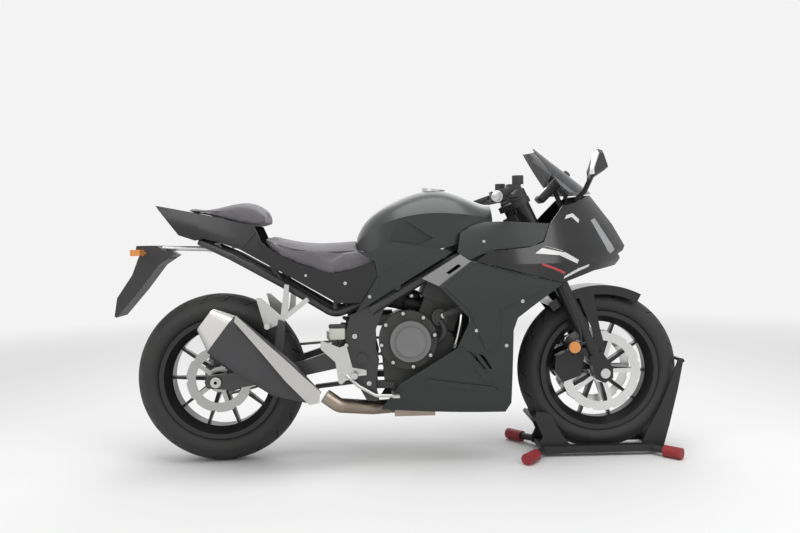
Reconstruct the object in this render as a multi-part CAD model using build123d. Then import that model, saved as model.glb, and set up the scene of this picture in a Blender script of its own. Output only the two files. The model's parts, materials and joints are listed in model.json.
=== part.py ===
from build123d import *
import math
import os

# A mid-size sport motorcycle, millimetres.  X runs forward, Y to the rider's left, Z up.
# Side outlines are (x, z) pairs, with x measured from the rear axle; every node is shifted at
# the end so that the origin lies at floor level, under the middle of the whole object.

# ---------------------------------------------------------------- driving dimensions
WHEELBASE = 1410.0
REAR_TYRE_R = 312.0
REAR_TYRE_W = 160.0
FRONT_TYRE_R = 300.0
FRONT_TYRE_W = 120.0
RIM_R = 222.0                # rim flange, outer radius
RIM_WALL = 7.0
BEAD_R = 212.0               # where the tyre's foot seats on the rim
BEAD_SHARE = 0.36            # half the width between the tyre's feet, as a share of its width
TYRE_WALL = 9.0
SHOULDER_SHARE = 0.4         # tread shoulder and widest point, as shares of the way from the rim
BULGE_SHARE = 0.27           # to the crown
RIM_SPOKES = 10
FRONT_LIFT = 12.0            # the front tyre stands this far above the floor, in its chock
RAKE = 25.5                  # steering axis, degrees from upright
TRAIL = 102.0
SCREEN_TOP_Z = 1135.0
DRAWN_BASE = 1410.0          # the wheelbase that the side outlines are drawn for
STRETCH_FROM = 640.0         # outlines stretch with the wheelbase from here
STRETCH_TO = 1000.0          # to here, and keep pace with the front wheel beyond it
LOW_CLAMP_Z = 735.0          # fork clamps, on the steering axis
TOP_CLAMP_Z = 915.0
CLAMP_THICK = 30.0
HEAD_CLEAR = 1.0             # between the steering head and each clamp

AXLE_R = 10.0
RUNNING_GAP = 0.05           # radial clearance of a wheel on its axle
SEAT_GAP = 0.3               # between surfaces of two bodies that rest on each other

FRONT_DISC_R = 148.0
REAR_DISC_R = 120.0
DISC_THICK = 4.0
PAD_GAP = 2.5                # beside each face of a disc, inside its caliper
EDGE_GAP = 4.0               # round a disc's edge, inside its caliper
FRONT_DISC_Y = 66.0
REAR_DISC_Y = -74.0
SPROCKET_R = 84.0
CHAIN_Y = 95.0
CHAIN_W = 12.0

FORK_SPREAD = 104.0          # each fork leg's distance from the middle plane
FORK_SLIDER_R = 20.5
FORK_TUBE_R = 27.0

RAIL_R = 14.0                # seat rails
RAIL_Y = 104.0
PILLION_Y = 127.0            # inner face of the pillion rests' hangers
PILLION_W = 10.0
PIVOT_X = 525.0              # swingarm pivot
PIVOT_Z = 390.0
PANEL = 4.0                  # thickness of the moulded body panels

X_REAR_END = -378.0          # tip of the rear mudguard
X_FRONT_END = 1740.0         # front stop of the wheel chock

# ---------------------------------------------------------------- worked-out places
REAR_AXLE = (0.0, 0.0, REAR_TYRE_R)
FRONT_AXLE = (DRAWN_BASE, 0.0, FRONT_TYRE_R + FRONT_LIFT)
SIN_RAKE = math.sin(math.radians(RAKE))
COS_RAKE = math.cos(math.radians(RAKE))
TAN_RAKE = SIN_RAKE / COS_RAKE


def along(x):
    """Station of an outline point: the front end moves with the front wheel, the rear end
    stays, and what lies between them stretches."""
    share = min(max((x - STRETCH_FROM) / (STRETCH_TO - STRETCH_FROM), 0.0), 1.0)
    return x + (WHEELBASE - DRAWN_BASE) * share


def placed(point):
    """Real place of a point given as drawn."""
    x, y, z = point
    return Vector(along(x), y, z)


def steer_x(z):
    """Drawn X of the steering axis at height z."""
    return DRAWN_BASE + TRAIL - (z - FRONT_LIFT) * TAN_RAKE


def fork_x(z):
    """Drawn X of the fork legs at height z: the legs run parallel to the steering axis."""
    return DRAWN_BASE - (z - FRONT_AXLE[2]) * TAN_RAKE


def by_axle(axle, outline):
    """Outline given relative to a wheel's axle."""
    return [(axle[0] + x, axle[2] + z) for x, z in outline]


# ---------------------------------------------------------------- shape helpers
def block(x0, x1, y0, y1, z0, z1):
    """Box between two corners."""
    x0, x1 = along(x0), along(x1)
    centre = ((x0 + x1) / 2, (y0 + y1) / 2, (z0 + z1) / 2)
    return Pos(*centre) * Box(abs(x1 - x0), abs(y1 - y0), abs(z1 - z0))


def side_prism(outline, y0, y1):
    """Prism of a side outline of (x, z) points, between two Y planes."""
    edge = Polyline(*[(along(x), y0, z) for x, z in outline], close=True)
    return extrude(make_face(edge), amount=y1 - y0, dir=(0, 1, 0))


def rod(a, b, radius):
    """Round bar from a to b."""
    start = placed(a)
    run = placed(b) - start
    return extrude(Plane(origin=start, z_dir=run) * Circle(radius), amount=run.length)


def pipe(points, radius, bend, wall=0.0):
    """Round pipe or bar along straight runs joined by arcs."""
    points = [placed(point) for point in points]
    path = FilletPolyline(*points, radius=bend) if len(points) > 2 else Line(*points)
    start = Plane(origin=path @ 0, z_dir=path % 0)
    solid = sweep(start * Circle(radius), path=path)
    if wall:
        solid = solid - sweep(start * Circle(radius - wall), path=path)
    return solid


def disc_y(x, y0, y1, z, radius):
    """Round disc about a line along Y."""
    return rod((x, y0, z), (x, y1, z), radius)


def mirrored(shape):
    """The same shape on the other side of the middle plane."""
    return mirror(shape, about=Plane.XZ)


def both(shape):
    """A shape and its mirror image, as one node."""
    return Compound(children=[*shape.solids(), *mirrored(shape).solids()])


def crowned(x, z_low, w_low, z_mid, w_mid, z_top):
    """Cross-section of a tank or seat at x: straight flanks under a round crown."""
    x = along(x)
    a, b = (x, -w_low, z_low), (x, -w_mid, z_mid)
    c, d = (x, w_mid, z_mid), (x, w_low, z_low)
    return make_face([Line(d, a), Line(a, b), ThreePointArc(b, (x, 0, z_top), c), Line(c, d)])


def crowned_body(sections):
    """Loft through a table of crowned sections."""
    return loft([crowned(*row) for row in sections])


def band(levels, wall, ruled=False):
    """Curved panel: at each height, an arc in plan from the rear edge, through a middle point,
    to the front edge, thickened inwards.  A row is z, x and y of the three points."""
    faces = []
    for z, x0, y0, x1, y1, x2, y2 in levels:
        x0, x1, x2 = along(x0), along(x1), along(x2)
        chord = Vector(x2 - x0, y2 - y0)
        inward = Vector(-chord.Y, chord.X).normalized() * wall
        outer = [(x0, y0, z), (x1, y1, z), (x2, y2, z)]
        inner = [(x + inward.X, y + inward.Y, z) for x, y, z in outer]
        faces.append(make_face([
            ThreePointArc(*outer),
            Line(outer[2], inner[2]),
            ThreePointArc(inner[2], inner[1], inner[0]),
            Line(inner[0], outer[0]),
        ]))
    return loft(faces, ruled=ruled)


def core(levels, wall):
    """Solid that fills the space between a panel of band() rows and its mirror image."""
    faces = []
    for z, x0, y0, x1, y1, x2, y2 in levels:
        near = [(along(x), y + wall + SEAT_GAP, z) for x, y in ((x0, y0), (x1, y1), (x2, y2))]
        far = [(x, -y, z) for x, y, z in near]
        faces.append(make_face([
            ThreePointArc(*near), Line(near[2], far[2]),
            ThreePointArc(far[2], far[1], far[0]), Line(far[0], near[0]),
        ]))
    return loft(faces)


# ---------------------------------------------------------------- wheels
def tyre(axle, radius, width):
    """Tubeless tyre: a round crown, bulging walls and an open inside."""
    half, section = width / 2, radius - RIM_R
    shoulder, bulge = RIM_R + section * SHOULDER_SHARE, RIM_R + section * BULGE_SHARE
    foot, clear = width * BEAD_SHARE, RIM_R + 1.0
    outline = [
        ThreePointArc((shoulder, -half), (radius, 0), (shoulder, half)),
        ThreePointArc((shoulder, half), (bulge, half - 0.6), (clear, foot)),
        Line((clear, foot), (BEAD_R, foot)),
        Line((BEAD_R, foot), (BEAD_R, foot - TYRE_WALL)),
        Line((BEAD_R, foot - TYRE_WALL), (shoulder, half - TYRE_WALL)),
        ThreePointArc((shoulder, half - TYRE_WALL), (radius - TYRE_WALL * 1.4, 0),
                      (shoulder, TYRE_WALL - half)),
        Line((shoulder, TYRE_WALL - half), (BEAD_R, TYRE_WALL - foot)),
        Line((BEAD_R, TYRE_WALL - foot), (BEAD_R, -foot)),
        Line((BEAD_R, -foot), (clear, -foot)),
        ThreePointArc((clear, -foot), (bulge, 0.6 - half), (shoulder, -half)),
    ]
    return Pos(placed(axle)) * revolve(make_face(outline), axis=Axis.Y)


def cast_rim(axle, tyre_width, hub_r, hub_half, phase):
    """Cast rim: flanged barrel, hub bored for its axle, and spokes that fork in pairs."""
    bead = tyre_width * BEAD_SHARE + SEAT_GAP
    flange, well = bead + RIM_WALL, bead - TYRE_WALL - 6
    seat, floor = BEAD_R - SEAT_GAP, RIM_R - 34.0
    half = [(RIM_R, flange), (RIM_R, bead), (seat, bead), (seat, well), (floor, well * 0.6)]
    under = [(floor - RIM_WALL, well * 0.7), (seat - RIM_WALL, flange)]
    profile = Polyline(*half, *[(r, -y) for r, y in reversed(half)],
                       *[(r, -y) for r, y in reversed(under)], *under, close=True)
    rim = revolve(make_face(profile), axis=Axis.Y)
    hub = disc_y(0, -hub_half, hub_half, 0, hub_r)
    spoke_r0, spoke_r1 = hub_r - 6, floor - RIM_WALL + 3
    step = 360.0 / RIM_SPOKES
    for i in range(RIM_SPOKES):
        lean = 9.0 if i % 2 else -9.0
        tip = math.radians(phase + i * step)
        root = math.radians(phase + i * step + lean)
        a = (spoke_r0 * math.cos(root), 0, spoke_r0 * math.sin(root))
        b = (spoke_r1 * math.cos(tip), 0, spoke_r1 * math.sin(tip))
        frame = Plane(origin=a, x_dir=(0, 1, 0), z_dir=Vector(*b) - Vector(*a))
        far = Plane(origin=b, x_dir=(0, 1, 0), z_dir=Vector(*b) - Vector(*a))
        rim += loft([frame * Rectangle(34, 17), far * Rectangle(26, 9)])
    rim += hub
    rim -= disc_y(0, -hub_half - 1, hub_half + 1, 0, AXLE_R + RUNNING_GAP)
    return Pos(placed(axle)) * rim


def petal_disc(axle, y, radius, bore_r, lobes):
    """Wave-edged brake disc with a ring of slots and arms to its centre."""
    y0, y1 = y - DISC_THICK / 2, y + DISC_THICK / 2
    disc = disc_y(0, y0, y1, 0, radius)
    ring_in = radius - 34.0
    disc -= disc_y(0, y0 - 1, y1 + 1, 0, ring_in)
    carrier = disc_y(0, y0, y1, 0, bore_r + 16.0)
    for i in range(5):
        turn = math.radians(i * 72.0)
        end = ring_in + 4.0
        arm = rod((0, y, 0), (end * math.cos(turn), y, end * math.sin(turn)), 8.0)
        carrier += arm & block(-radius, radius, y0, y1, -radius, radius)
    disc += carrier
    disc -= disc_y(0, y0 - 1, y1 + 1, 0, bore_r)
    for i in range(lobes):
        turn = math.radians((i + 0.5) * 360.0 / lobes)
        at = radius + 9.0
        disc -= disc_y(at * math.cos(turn), y0 - 1, y1 + 1, at * math.sin(turn), 14.0)
    return Pos(placed(axle)) * disc


AXLE_BORE_R = 6.0            # the hollow rear axle takes a paddock stand's pin
HUB_R_REAR = 42.0
HUB_HALF_REAR = -REAR_DISC_Y - DISC_THICK / 2 - SEAT_GAP
HUB_R_FRONT = 34.0
HUB_HALF_FRONT = FRONT_DISC_Y - DISC_THICK / 2 - SEAT_GAP

rear_tyre = tyre(REAR_AXLE, REAR_TYRE_R, REAR_TYRE_W)
rear_rim = cast_rim(REAR_AXLE, REAR_TYRE_W, HUB_R_REAR, HUB_HALF_REAR, 0.0)
rear_disc = petal_disc(REAR_AXLE, REAR_DISC_Y, REAR_DISC_R, HUB_R_REAR - 12, 9)
front_tyre = tyre(FRONT_AXLE, FRONT_TYRE_R, FRONT_TYRE_W)
front_rim = cast_rim(FRONT_AXLE, FRONT_TYRE_W, HUB_R_FRONT, HUB_HALF_FRONT, 32.7)
front_discs = both(petal_disc(FRONT_AXLE, -FRONT_DISC_Y, FRONT_DISC_R, HUB_R_FRONT - 8, 12))

sprocket_y = (CHAIN_Y - 3.5, CHAIN_Y + 3.5)
rear_sprocket = disc_y(0, *sprocket_y, 0, SPROCKET_R - 6) - disc_y(0, *sprocket_y, 0, 34)
rear_sprocket += disc_y(0, HUB_HALF_REAR, CHAIN_Y, 0, 50) - disc_y(0, HUB_HALF_REAR, CHAIN_Y, 0, 34)
rear_sprocket = Pos(*REAR_AXLE) * rear_sprocket

# ---------------------------------------------------------------- swingarm, shock and chain
ARM_Y = 106.0                # inner face of each swingarm leg
ARM_W = 26.0
arm_outline = by_axle(REAR_AXLE, [(30, -28), (-34, -22), (-42, 0), (-34, 22), (30, 28)])
arm_outline += [(300, 378), (430, 420), (540, 418), (552, 390), (540, 362), (430, 352), (200, 306)]
arm_leg = side_prism(arm_outline, ARM_Y, ARM_Y + ARM_W)
arm_leg -= disc_y(0, ARM_Y - 1, ARM_Y + ARM_W + 1, REAR_TYRE_R, AXLE_R)
cross_piece = block(395, 470, -ARM_Y, ARM_Y, 366, 408)
pivot_tube = disc_y(PIVOT_X, -ARM_Y, ARM_Y, PIVOT_Z, 24)
swingarm = Compound(children=[*both(arm_leg).solids(), *cross_piece.solids(), *pivot_tube.solids()])
rear_axle_bar = disc_y(0, -ARM_Y - ARM_W - 16, ARM_Y + ARM_W + 16, REAR_TYRE_R, AXLE_R)
for face_y in (HUB_HALF_REAR, -HUB_HALF_REAR):
    out = math.copysign(ARM_Y, face_y)
    start = face_y + math.copysign(0.5, face_y)
    rear_axle_bar += disc_y(0, min(start, out), max(start, out), REAR_TYRE_R, 17)
for side in (-1, 1):
    y0 = side * (ARM_Y + ARM_W)
    rear_axle_bar += disc_y(0, min(y0, y0 + side * 12), max(y0, y0 + side * 12), REAR_TYRE_R, 19)
rear_axle_bar -= disc_y(0, -200, 200, REAR_TYRE_R, AXLE_BORE_R)

SHOCK_FOOT = (448.0, 0.0, 408.0)
SHOCK_HEAD = (520.0, 0.0, 640.0)
rear_shock = rod(SHOCK_FOOT, SHOCK_HEAD, 16)
shock_run = Vector(*SHOCK_HEAD) - Vector(*SHOCK_FOOT)
for i in range(7):
    at = Vector(*SHOCK_FOOT) + shock_run * (0.16 + i * 0.1)
    coil = Plane(origin=at, z_dir=shock_run) * Torus(27, 6)
    rear_shock += coil + Plane(origin=at, z_dir=shock_run) * Cylinder(24, 3)

ENGINE_SPROCKET = (585.0, 402.0)
CHAIN_HALF = 7.0


def chain_loop(grow):
    """Side outline of the chain's run round both sprockets, grown or shrunk by a distance."""
    big, small = SPROCKET_R + grow, 32.0 + grow
    dx, dz = ENGINE_SPROCKET[0], ENGINE_SPROCKET[1] - REAR_TYRE_R
    span, lean = math.hypot(dx, dz), math.atan2(dz, dx)
    tilt = math.acos((big - small) / span)
    rear = disc_y(0, CHAIN_Y - CHAIN_W / 2, CHAIN_Y + CHAIN_W / 2, REAR_TYRE_R, big)
    front = disc_y(dx, CHAIN_Y - CHAIN_W / 2, CHAIN_Y + CHAIN_W / 2, ENGINE_SPROCKET[1], small)
    corners = []
    for turn in (lean + tilt, lean - tilt):
        corners.append((big * math.cos(turn), REAR_TYRE_R + big * math.sin(turn)))
        corners.append((dx + small * math.cos(turn), ENGINE_SPROCKET[1] + small * math.sin(turn)))
    outline = [corners[0], corners[1], corners[3], corners[2]]
    return rear + front + side_prism(outline, CHAIN_Y - CHAIN_W / 2, CHAIN_Y + CHAIN_W / 2)


drive_chain = chain_loop(CHAIN_HALF) - chain_loop(-CHAIN_HALF + 1)

# ---------------------------------------------------------------- frame
SPAR_R = 19.0
HEAD_LOW_Z = LOW_CLAMP_Z + CLAMP_THICK * COS_RAKE + HEAD_CLEAR * 4
HEAD_HIGH_Z = TOP_CLAMP_Z - 22.0
head_low = (steer_x(HEAD_LOW_Z), 0.0, HEAD_LOW_Z)
head_high = (steer_x(HEAD_HIGH_Z), 0.0, HEAD_HIGH_Z)
plate_outline = [
    (486, 545), (464, 470), (474, 380), (506, 300), (540, 238), (584, 238), (572, 300),
    (586, 383), (576, 424), (574, 490), (612, 580), (560, 580),
]
PLATE_Y = 140.0
PLATE_W = 16.0
main_frame = side_prism(plate_outline, PLATE_Y, PLATE_Y + PLATE_W)
main_frame += pipe([(1128, 12, 820), (864, 132, 742), (560, PLATE_Y + 8, 560)], SPAR_R, 60)
main_frame += pipe([(1140, 12, 798), (980, 126, 700), (905, 148, 606)], 12, 50)
main_frame += mirrored(main_frame)
main_frame += rod(head_low, head_high, 33)
main_frame -= rod((steer_x(HEAD_LOW_Z - 5), 0, HEAD_LOW_Z - 5),
                  (steer_x(HEAD_HIGH_Z + 5), 0, HEAD_HIGH_Z + 5), 16)
for x, z, r in ((545, 575, 15), (552, 262, 15), (850, 735, 13)):
    main_frame += disc_y(x, -PLATE_Y - 4, PLATE_Y + 4, z, r) if x < 800 else disc_y(x, -136, 136, z, r)
main_frame += disc_y(PIVOT_X, ARM_Y + ARM_W + 1, PLATE_Y + PLATE_W + 8, PIVOT_Z, 20)
main_frame += disc_y(PIVOT_X, -PLATE_Y - PLATE_W - 8, -ARM_Y - ARM_W - 1, PIVOT_Z, 20)
main_frame += rod((SHOCK_HEAD[0], -30, SHOCK_HEAD[2]), (SHOCK_HEAD[0], 30, SHOCK_HEAD[2]), 9)
main_frame += block(505, 560, -42, -24, 560, 655) + block(505, 560, 24, 42, 560, 655)

rear_shock -= main_frame
rear_shock -= cross_piece

seat_rail = pipe([(560, 126, 600), (430, 118, 545), (250, RAIL_Y, 655), (60, RAIL_Y, 762),
                  (-60, 70, 818)], RAIL_R, 60)
upper_rail = pipe([(700, 118, 690), (440, 100, 672), (-60, 66, 850)], 11, 80)
subframe = seat_rail + upper_rail
subframe += rod((430, 114, 552), (440, 100, 672), 9)
subframe += rod((250, RAIL_Y, 655), (170, 86, 780), 9)
subframe += mirrored(subframe)
for x, z, y in ((435, 660, 102), (160, 780, 88), (-55, 836, 72)):
    subframe += disc_y(x, -y, y, z, 9)
subframe -= main_frame

# ---------------------------------------------------------------- engine
CRANK = (690.0, 455.0)
case_outline = [
    (604, 300), (640, 258), (800, 246), (872, 300), (884, 400), (850, 470), (700, 560),
    (618, 520), (596, 400),
]
engine_case = side_prism(case_outline, -128, 128)
engine_case += side_prism([(630, 218), (785, 214), (820, 260), (640, 262)], -80, 80)
engine_case += disc_y(700, -150, 150, 452, 92)
engine_case += disc_y(CRANK[0], -168, -128, CRANK[1], 104)
engine_case += disc_y(775, 128, 165, 400, 84)
engine_case -= block(560, ENGINE_SPROCKET[0] + 48, CHAIN_Y - 20, 130, 352, 452)
for z0, z1, x1 in ((278.5, 302, 640), (505, 540, 640)):
    for y0 in (-PLATE_Y + SEAT_GAP, 100):
        engine_case += block(558, x1, y0, y0 + 40 - SEAT_GAP, z0, z1)
for y0 in (-148, 130 + SEAT_GAP):
    main_frame += disc_y(905, y0, y0 + 18 - SEAT_GAP, 606, 10)
clutch_cover = disc_y(CRANK[0] + 8, -196, -168, CRANK[1] - 4, 72)
clutch_cover += disc_y(CRANK[0] + 8, -208, -196, CRANK[1] - 4, 52)
generator_cover = disc_y(775, 165, 178, 400, 70)
generator_cover += disc_y(775, 178, 186, 400, 46)
generator_cover += side_prism([(592, 358), (648, 352), (660, 402), (648, 456), (592, 450)],
                              128 + SEAT_GAP, 140)
generator_cover -= engine_case
for i in range(8):
    turn = math.radians(i * 45 + 10)
    spot = (CRANK[0] + 96 * math.cos(turn), CRANK[1] + 96 * math.sin(turn))
    engine_case += disc_y(spot[0], -176, -128, spot[1], 9)
CYL_BASE = Vector(790, 0, 500)
CYL_DIR = Vector(math.cos(math.radians(70)), 0, math.sin(math.radians(70)))
CYL_SIDE = Vector(CYL_DIR.Z, 0, -CYL_DIR.X)


def jug(low, high, depth, half_width):
    """Length of the inclined cylinder block, between two heights above its base."""
    corners = []
    for rise, side in ((low, -1), (high, -1), (high, 1), (low, 1)):
        corner = CYL_BASE + CYL_DIR * rise + CYL_SIDE * (side * depth / 2)
        corners.append((corner.X, corner.Z))
    return side_prism(corners, -half_width, half_width)


engine_top = jug(0, 86, 140, 118) + jug(86, 146, 160, 130) + jug(146, 172, 136, 120)
engine_top += side_prism([(700, 540), (800, 470), (850, 470), (830, 560)], -100, 100)
engine_top = engine_top - engine_case - main_frame
PORT_Y = 62.0
port_dir = Vector(0.968, 0, -0.250)
port_face = Vector(932, 0, 549)
engine_top += disc_y(806, -158, -110, 532, 30) + disc_y(806, -164, -158, 532, 18)
for y in (-PORT_Y, PORT_Y):
    end = port_face + Vector(0, y, 0)
    engine_top += rod(tuple(end - port_dir * 46), tuple(end), 24)

radiator_tilt = 8.0
radiator = Box(24, 300, 290) + Pos(0, -160, 0) * Box(40, 24, 300) + Pos(0, 160, 0) * Box(40, 24, 300)
radiator = Pos(along(1004), 0, 486) * Rot(0, radiator_tilt, 0) * radiator
for side in (-1, 1):
    radiator += rod((1020, side * 150, 630), (988, side * 134, 690), 6)
radiator -= main_frame

header_pipes = None
HEADER_R = 19.0
for y in (-PORT_Y, PORT_Y):
    start = port_face + Vector(0, y, 0)
    bend = start + port_dir * 32
    run = pipe([tuple(start), tuple(bend), (924, y, 296), (884, y * 0.7, 199),
                (760, y * 0.5, 181)], HEADER_R, 24)
    header_pipes = run if header_pipes is None else header_pipes + run
header_pipes += block(640, 790, -70, 70, 160, 204)
header_pipes += pipe([(650, -20, 190), (560, -90, 200), (440, -168, 226), (392, -172, 262)],
                     26, 40)

# ---------------------------------------------------------------- muffler
MUFFLER_AT = (25.0, -190.0, 500.0)
muffler_dir = Vector(0.792, 0, -0.610)
muffler_plane = Plane(origin=MUFFLER_AT, x_dir=(0, -1, 0), z_dir=muffler_dir)
# distance along the axis, low and high edge, inner and outer side
muffler_rows = [
    (14, -78, 79, -48, 50),
    (150, -76, 74, -48, 50),
    (285, -66, 63, -40, 42),
    (415, -8, 42, -8, 26),
]
cap_rows = [(-62, -37, 53, -26, 30), (14, -76, 77, -46, 48)]


def muffler_body(rows):
    """Loft through rounded sections set square to the muffler's axis."""
    faces = []
    for along, low, high, inner, outer in rows:
        place = muffler_plane.offset(along) * Pos((inner + outer) / 2, -(low + high) / 2)
        corner = min(high - low, outer - inner) * 0.3
        faces.append(place * RectangleRounded(outer - inner, high - low, corner))
    return loft(faces, ruled=True)


muffler = muffler_body(muffler_rows)
muffler_cap = muffler_body(cap_rows)
muffler_cap -= extrude(muffler_plane.offset(-70) * Pos(4, -20) * Circle(17), amount=60)
muffler += side_prism([(206, 392), (240, 380), (252, 522), (228, 534)], -150, -141)
muffler += disc_y(238, -150, -PILLION_Y - PILLION_W - SEAT_GAP, 522, 9)
for x, z in ((140, 492), (215, 424), (300, 330)):
    muffler += disc_y(x, -242.7, -215, z, 8)
heat_shield = side_prism([(96, 560), (240, 424), (380, 292), (376, 252), (342, 246), (262, 330),
                          (180, 432), (90, 540)], -249, -243)

# ---------------------------------------------------------------- tank and seats
tank_rows = [
    (512, 770, 92, 800, 96, 822),
    (570, 762, 128, 850, 120, 906),
    (670, 762, 152, 890, 142, 966),
    (780, 772, 162, 905, 152, 996),
    (890, 800, 156, 900, 150, 978),
    (1005, 868, 112, 884, 110, 938),
]
TANK_PAD_DEEP = 18.0         # the foot under the tank, below its floor
KNEE_Y = 141.0               # the sunk panels that the rider's knees press on
fuel_tank = crowned_body(tank_rows)
tank_floor = (tank_rows[3][1] + tank_rows[4][1]) / 2
fuel_tank += block(838, 872, -40, 40, tank_floor - TANK_PAD_DEEP, tank_floor + 14)
main_frame += block(844, 866, -36, 36, 735, tank_floor - TANK_PAD_DEEP - SEAT_GAP)
knee_outline = [(546, 796), (636, 892), (668, 893), (786, 816), (706, 780)]
knee_panel = side_prism(knee_outline, -200, -KNEE_Y)
fuel_tank = fuel_tank - knee_panel - mirrored(knee_panel)
tank_cap = rod((800, 0, 982), (802.2, 0, 999), 44)
fuel_tank -= rod((799.61, 0, 979), (804.01, 0, 1013), 44.3)

rider_seat = crowned_body([
    (176, 815, 98, 826, 96, 836),
    (232, 772, 122, 800, 116, 822),
    (310, 736, 140, 780, 136, 806),
    (410, 702, 144, 770, 132, 801),
    (511.7, 716, 118, 772, 100, 806),
])
pillion_seat = crowned_body([
    (-105, 926, 62, 934, 58, 946),
    (20, 902, 92, 926, 86, 943),
    (150, 874, 108, 926, 100, 945),
    (190, 880, 104, 900, 100, 914),
])
pillion_seat -= rider_seat
for side in (-1, 1):
    subframe += block(300, 344, side * 78, side * 104, 706, 744) - rider_seat

# ---------------------------------------------------------------- rear bodywork

def flank(rows, wall):
    """Side panel lofted along X: each row is x, then y and z of its foot, bulge and top."""
    faces = []
    for x, y0, z0, y1, z1, y2, z2 in rows:
        x = along(x)
        outer = [(x, y0, z0), (x, y1, z1), (x, y2, z2)]
        inner = [(x, y + wall, z) for x, y, z in outer]
        faces.append(make_face([
            ThreePointArc(*outer), Line(outer[2], inner[2]),
            ThreePointArc(inner[2], inner[1], inner[0]), Line(inner[0], outer[0]),
        ]))
    return loft(faces, ruled=len(rows) > 3)


def stepped(rows, step):
    """The rows of flank() moved outwards by a step."""
    return [(x, y0 - step, z0, y1 - step, z1, y2 - step, z2) for x, y0, z0, y1, z1, y2, z2 in rows]


def between(rows, wall):
    """Solid that fills the space between a panel of flank() rows and its mirror image."""
    faces = []
    for x, y0, z0, y1, z1, y2, z2 in rows:
        x = along(x)
        inset = wall + SEAT_GAP
        near = [(x, y0 + inset, z0), (x, y1 + inset, z1), (x, y2 + inset, z2)]
        far = [(x, -y, z) for x, y, z in near]
        faces.append(make_face([
            ThreePointArc(*near), Line(near[2], far[2]),
            ThreePointArc(far[2], far[1], far[0]), Line(far[0], near[0]),
        ]))
    return loft(faces, ruled=len(rows) > 3)


tail_outline = [
    (-229, 953), (-91, 925), (146, 871), (170, 812), (228, 768), (303, 732), (415, 694),
    (500, 708), (575, 735), (583, 681), (524, 590), (440, 590), (245, 702), (69, 800),
    (-40, 828), (-73, 821), (-138, 842),
]
tail_rows = [
    (-240, -26, 800, -30, 900, -22, 980),
    (-60, -88, 780, -92, 860, -74, 960),
    (160, -128, 640, -132, 780, -112, 900),
    (420, -150, 520, -156, 640, -146, 760),
    (620, -158, 520, -166, 640, -158, 780),
]
tail_flank = flank(tail_rows, PANEL)
tail_core = between(tail_rows, PANEL)
seat_base = side_prism([(204, 815), (196, 800), (240, 756), (308, 724), (412, 686), (504, 703), (576, 730),
                        (566, 758), (508, 790), (420, 735), (310, 765), (240, 795)], -200, 200)
rider_seat += (seat_base & tail_core) - subframe - fuel_tank
tail_cowl_right = tail_flank & side_prism(tail_outline, -300, -10)
tail_step = [(-222, 945), (-90, 912), (64, 866), (152, 846), (112, 798), (69, 806), (-40, 834), (-72, 827), (-134, 849)]
tail_cowl_right += flank(stepped(tail_rows, 3), PANEL) & side_prism(tail_step, -300, -30)
tail_cowl_left = mirrored(tail_cowl_right)

tail_light = side_prism([(-224, 943), (-146, 850), (-128, 862), (-190, 932)], -200, 200) & tail_core
tail_spine = side_prism([(-226, 950), (-190, 936), (-95, 912), (60, 888), (60, 898), (-91, 921)],
                        -200, 200) & tail_core
under_tray = side_prism([(-139, 846), (-73, 824), (-40, 830), (60, 803), (60, 811), (-40, 838),
                         (-73, 832), (-124, 860)], -200, 200) & tail_core
for y0 in (-PILLION_Y + SEAT_GAP, RAIL_Y - 4):
    subframe += disc_y(262, y0, y0 + PILLION_Y - RAIL_Y + 4 - SEAT_GAP, 650, 9)
tail_spine -= pillion_seat
for x, z in ((-20, 838), (70, 798), (280, 727), (420, 677)):
    subframe += (disc_y(x, -190, -60, z, 7) & tail_core) + (disc_y(x, 60, 190, z, 7) & tail_core)

side_cover_outline = [
    (512, 774), (560, 770), (640, 806), (833, 773), (852, 765), (505, 553), (528, 590),
    (585, 681), (577, 735),
]
cover_rows = [
    (500, -158, 520, -168, 660, -150, 830),
    (700, -164, 560, -176, 700, -160, 840),
    (870, -160, 600, -176, 720, -160, 860),
]
cover_flank = flank(cover_rows, PANEL)
cover_core = between(cover_rows, PANEL)
for reach in ((-190, -108), (108, 190)):
    main_frame += disc_y(655, *reach, 645, 12) & cover_core
    subframe += disc_y(640, *reach, 686, 7) & cover_core
side_cover = cover_flank & side_prism(side_cover_outline, -300, -10)
cover_step = [(594, 692), (742, 759), (842, 767), (846, 761), (612, 619), (590, 640)]
side_cover += flank(stepped(cover_rows, 3), PANEL) & side_prism(cover_step, -300, -10)
side_covers = both(side_cover)

PLATE_ARM_Y = 34.0
plate_arm = pipe([(-20, PLATE_ARM_Y, 790), (-206, 22, 796)], 9, 10)
plate_arm += mirrored(plate_arm)
plate_arm += block(-30, -6, -60, 60, 778, 800)
subframe += side_prism([(-62, 838), (-46, 838), (-10, 812), (-10, 800.3), (-30, 800.3)], -60, 60)
tail_spine -= subframe
under_tray -= subframe
guard_outline = [
    (-159, 770), (-222, 806), (-292, 806), (-296, 786), (-282, 772), (-310, 700), (-367, 616),
    (-378, 549), (-370, 545), (-287, 640), (-215, 733),
]
rear_guard = side_prism(guard_outline, -62, 62)
rear_guard -= side_prism([(-172, 760), (-222, 794), (-276, 794), (-300, 700), (-358, 606),
                          (-366, 566), (-290, 650), (-220, 740)], -56, 56)
plate_arm -= rear_guard
rear_indicators = None
for side in (-1, 1):
    stalk = rod((-262, side * 63.5, 778), (-268, side * 104, 780), 6)
    lamp = Pos(-270, side * 128, 781) * Box(34, 52, 22)
    both_bits = stalk + lamp
    rear_indicators = both_bits if rear_indicators is None else rear_indicators + both_bits

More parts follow.
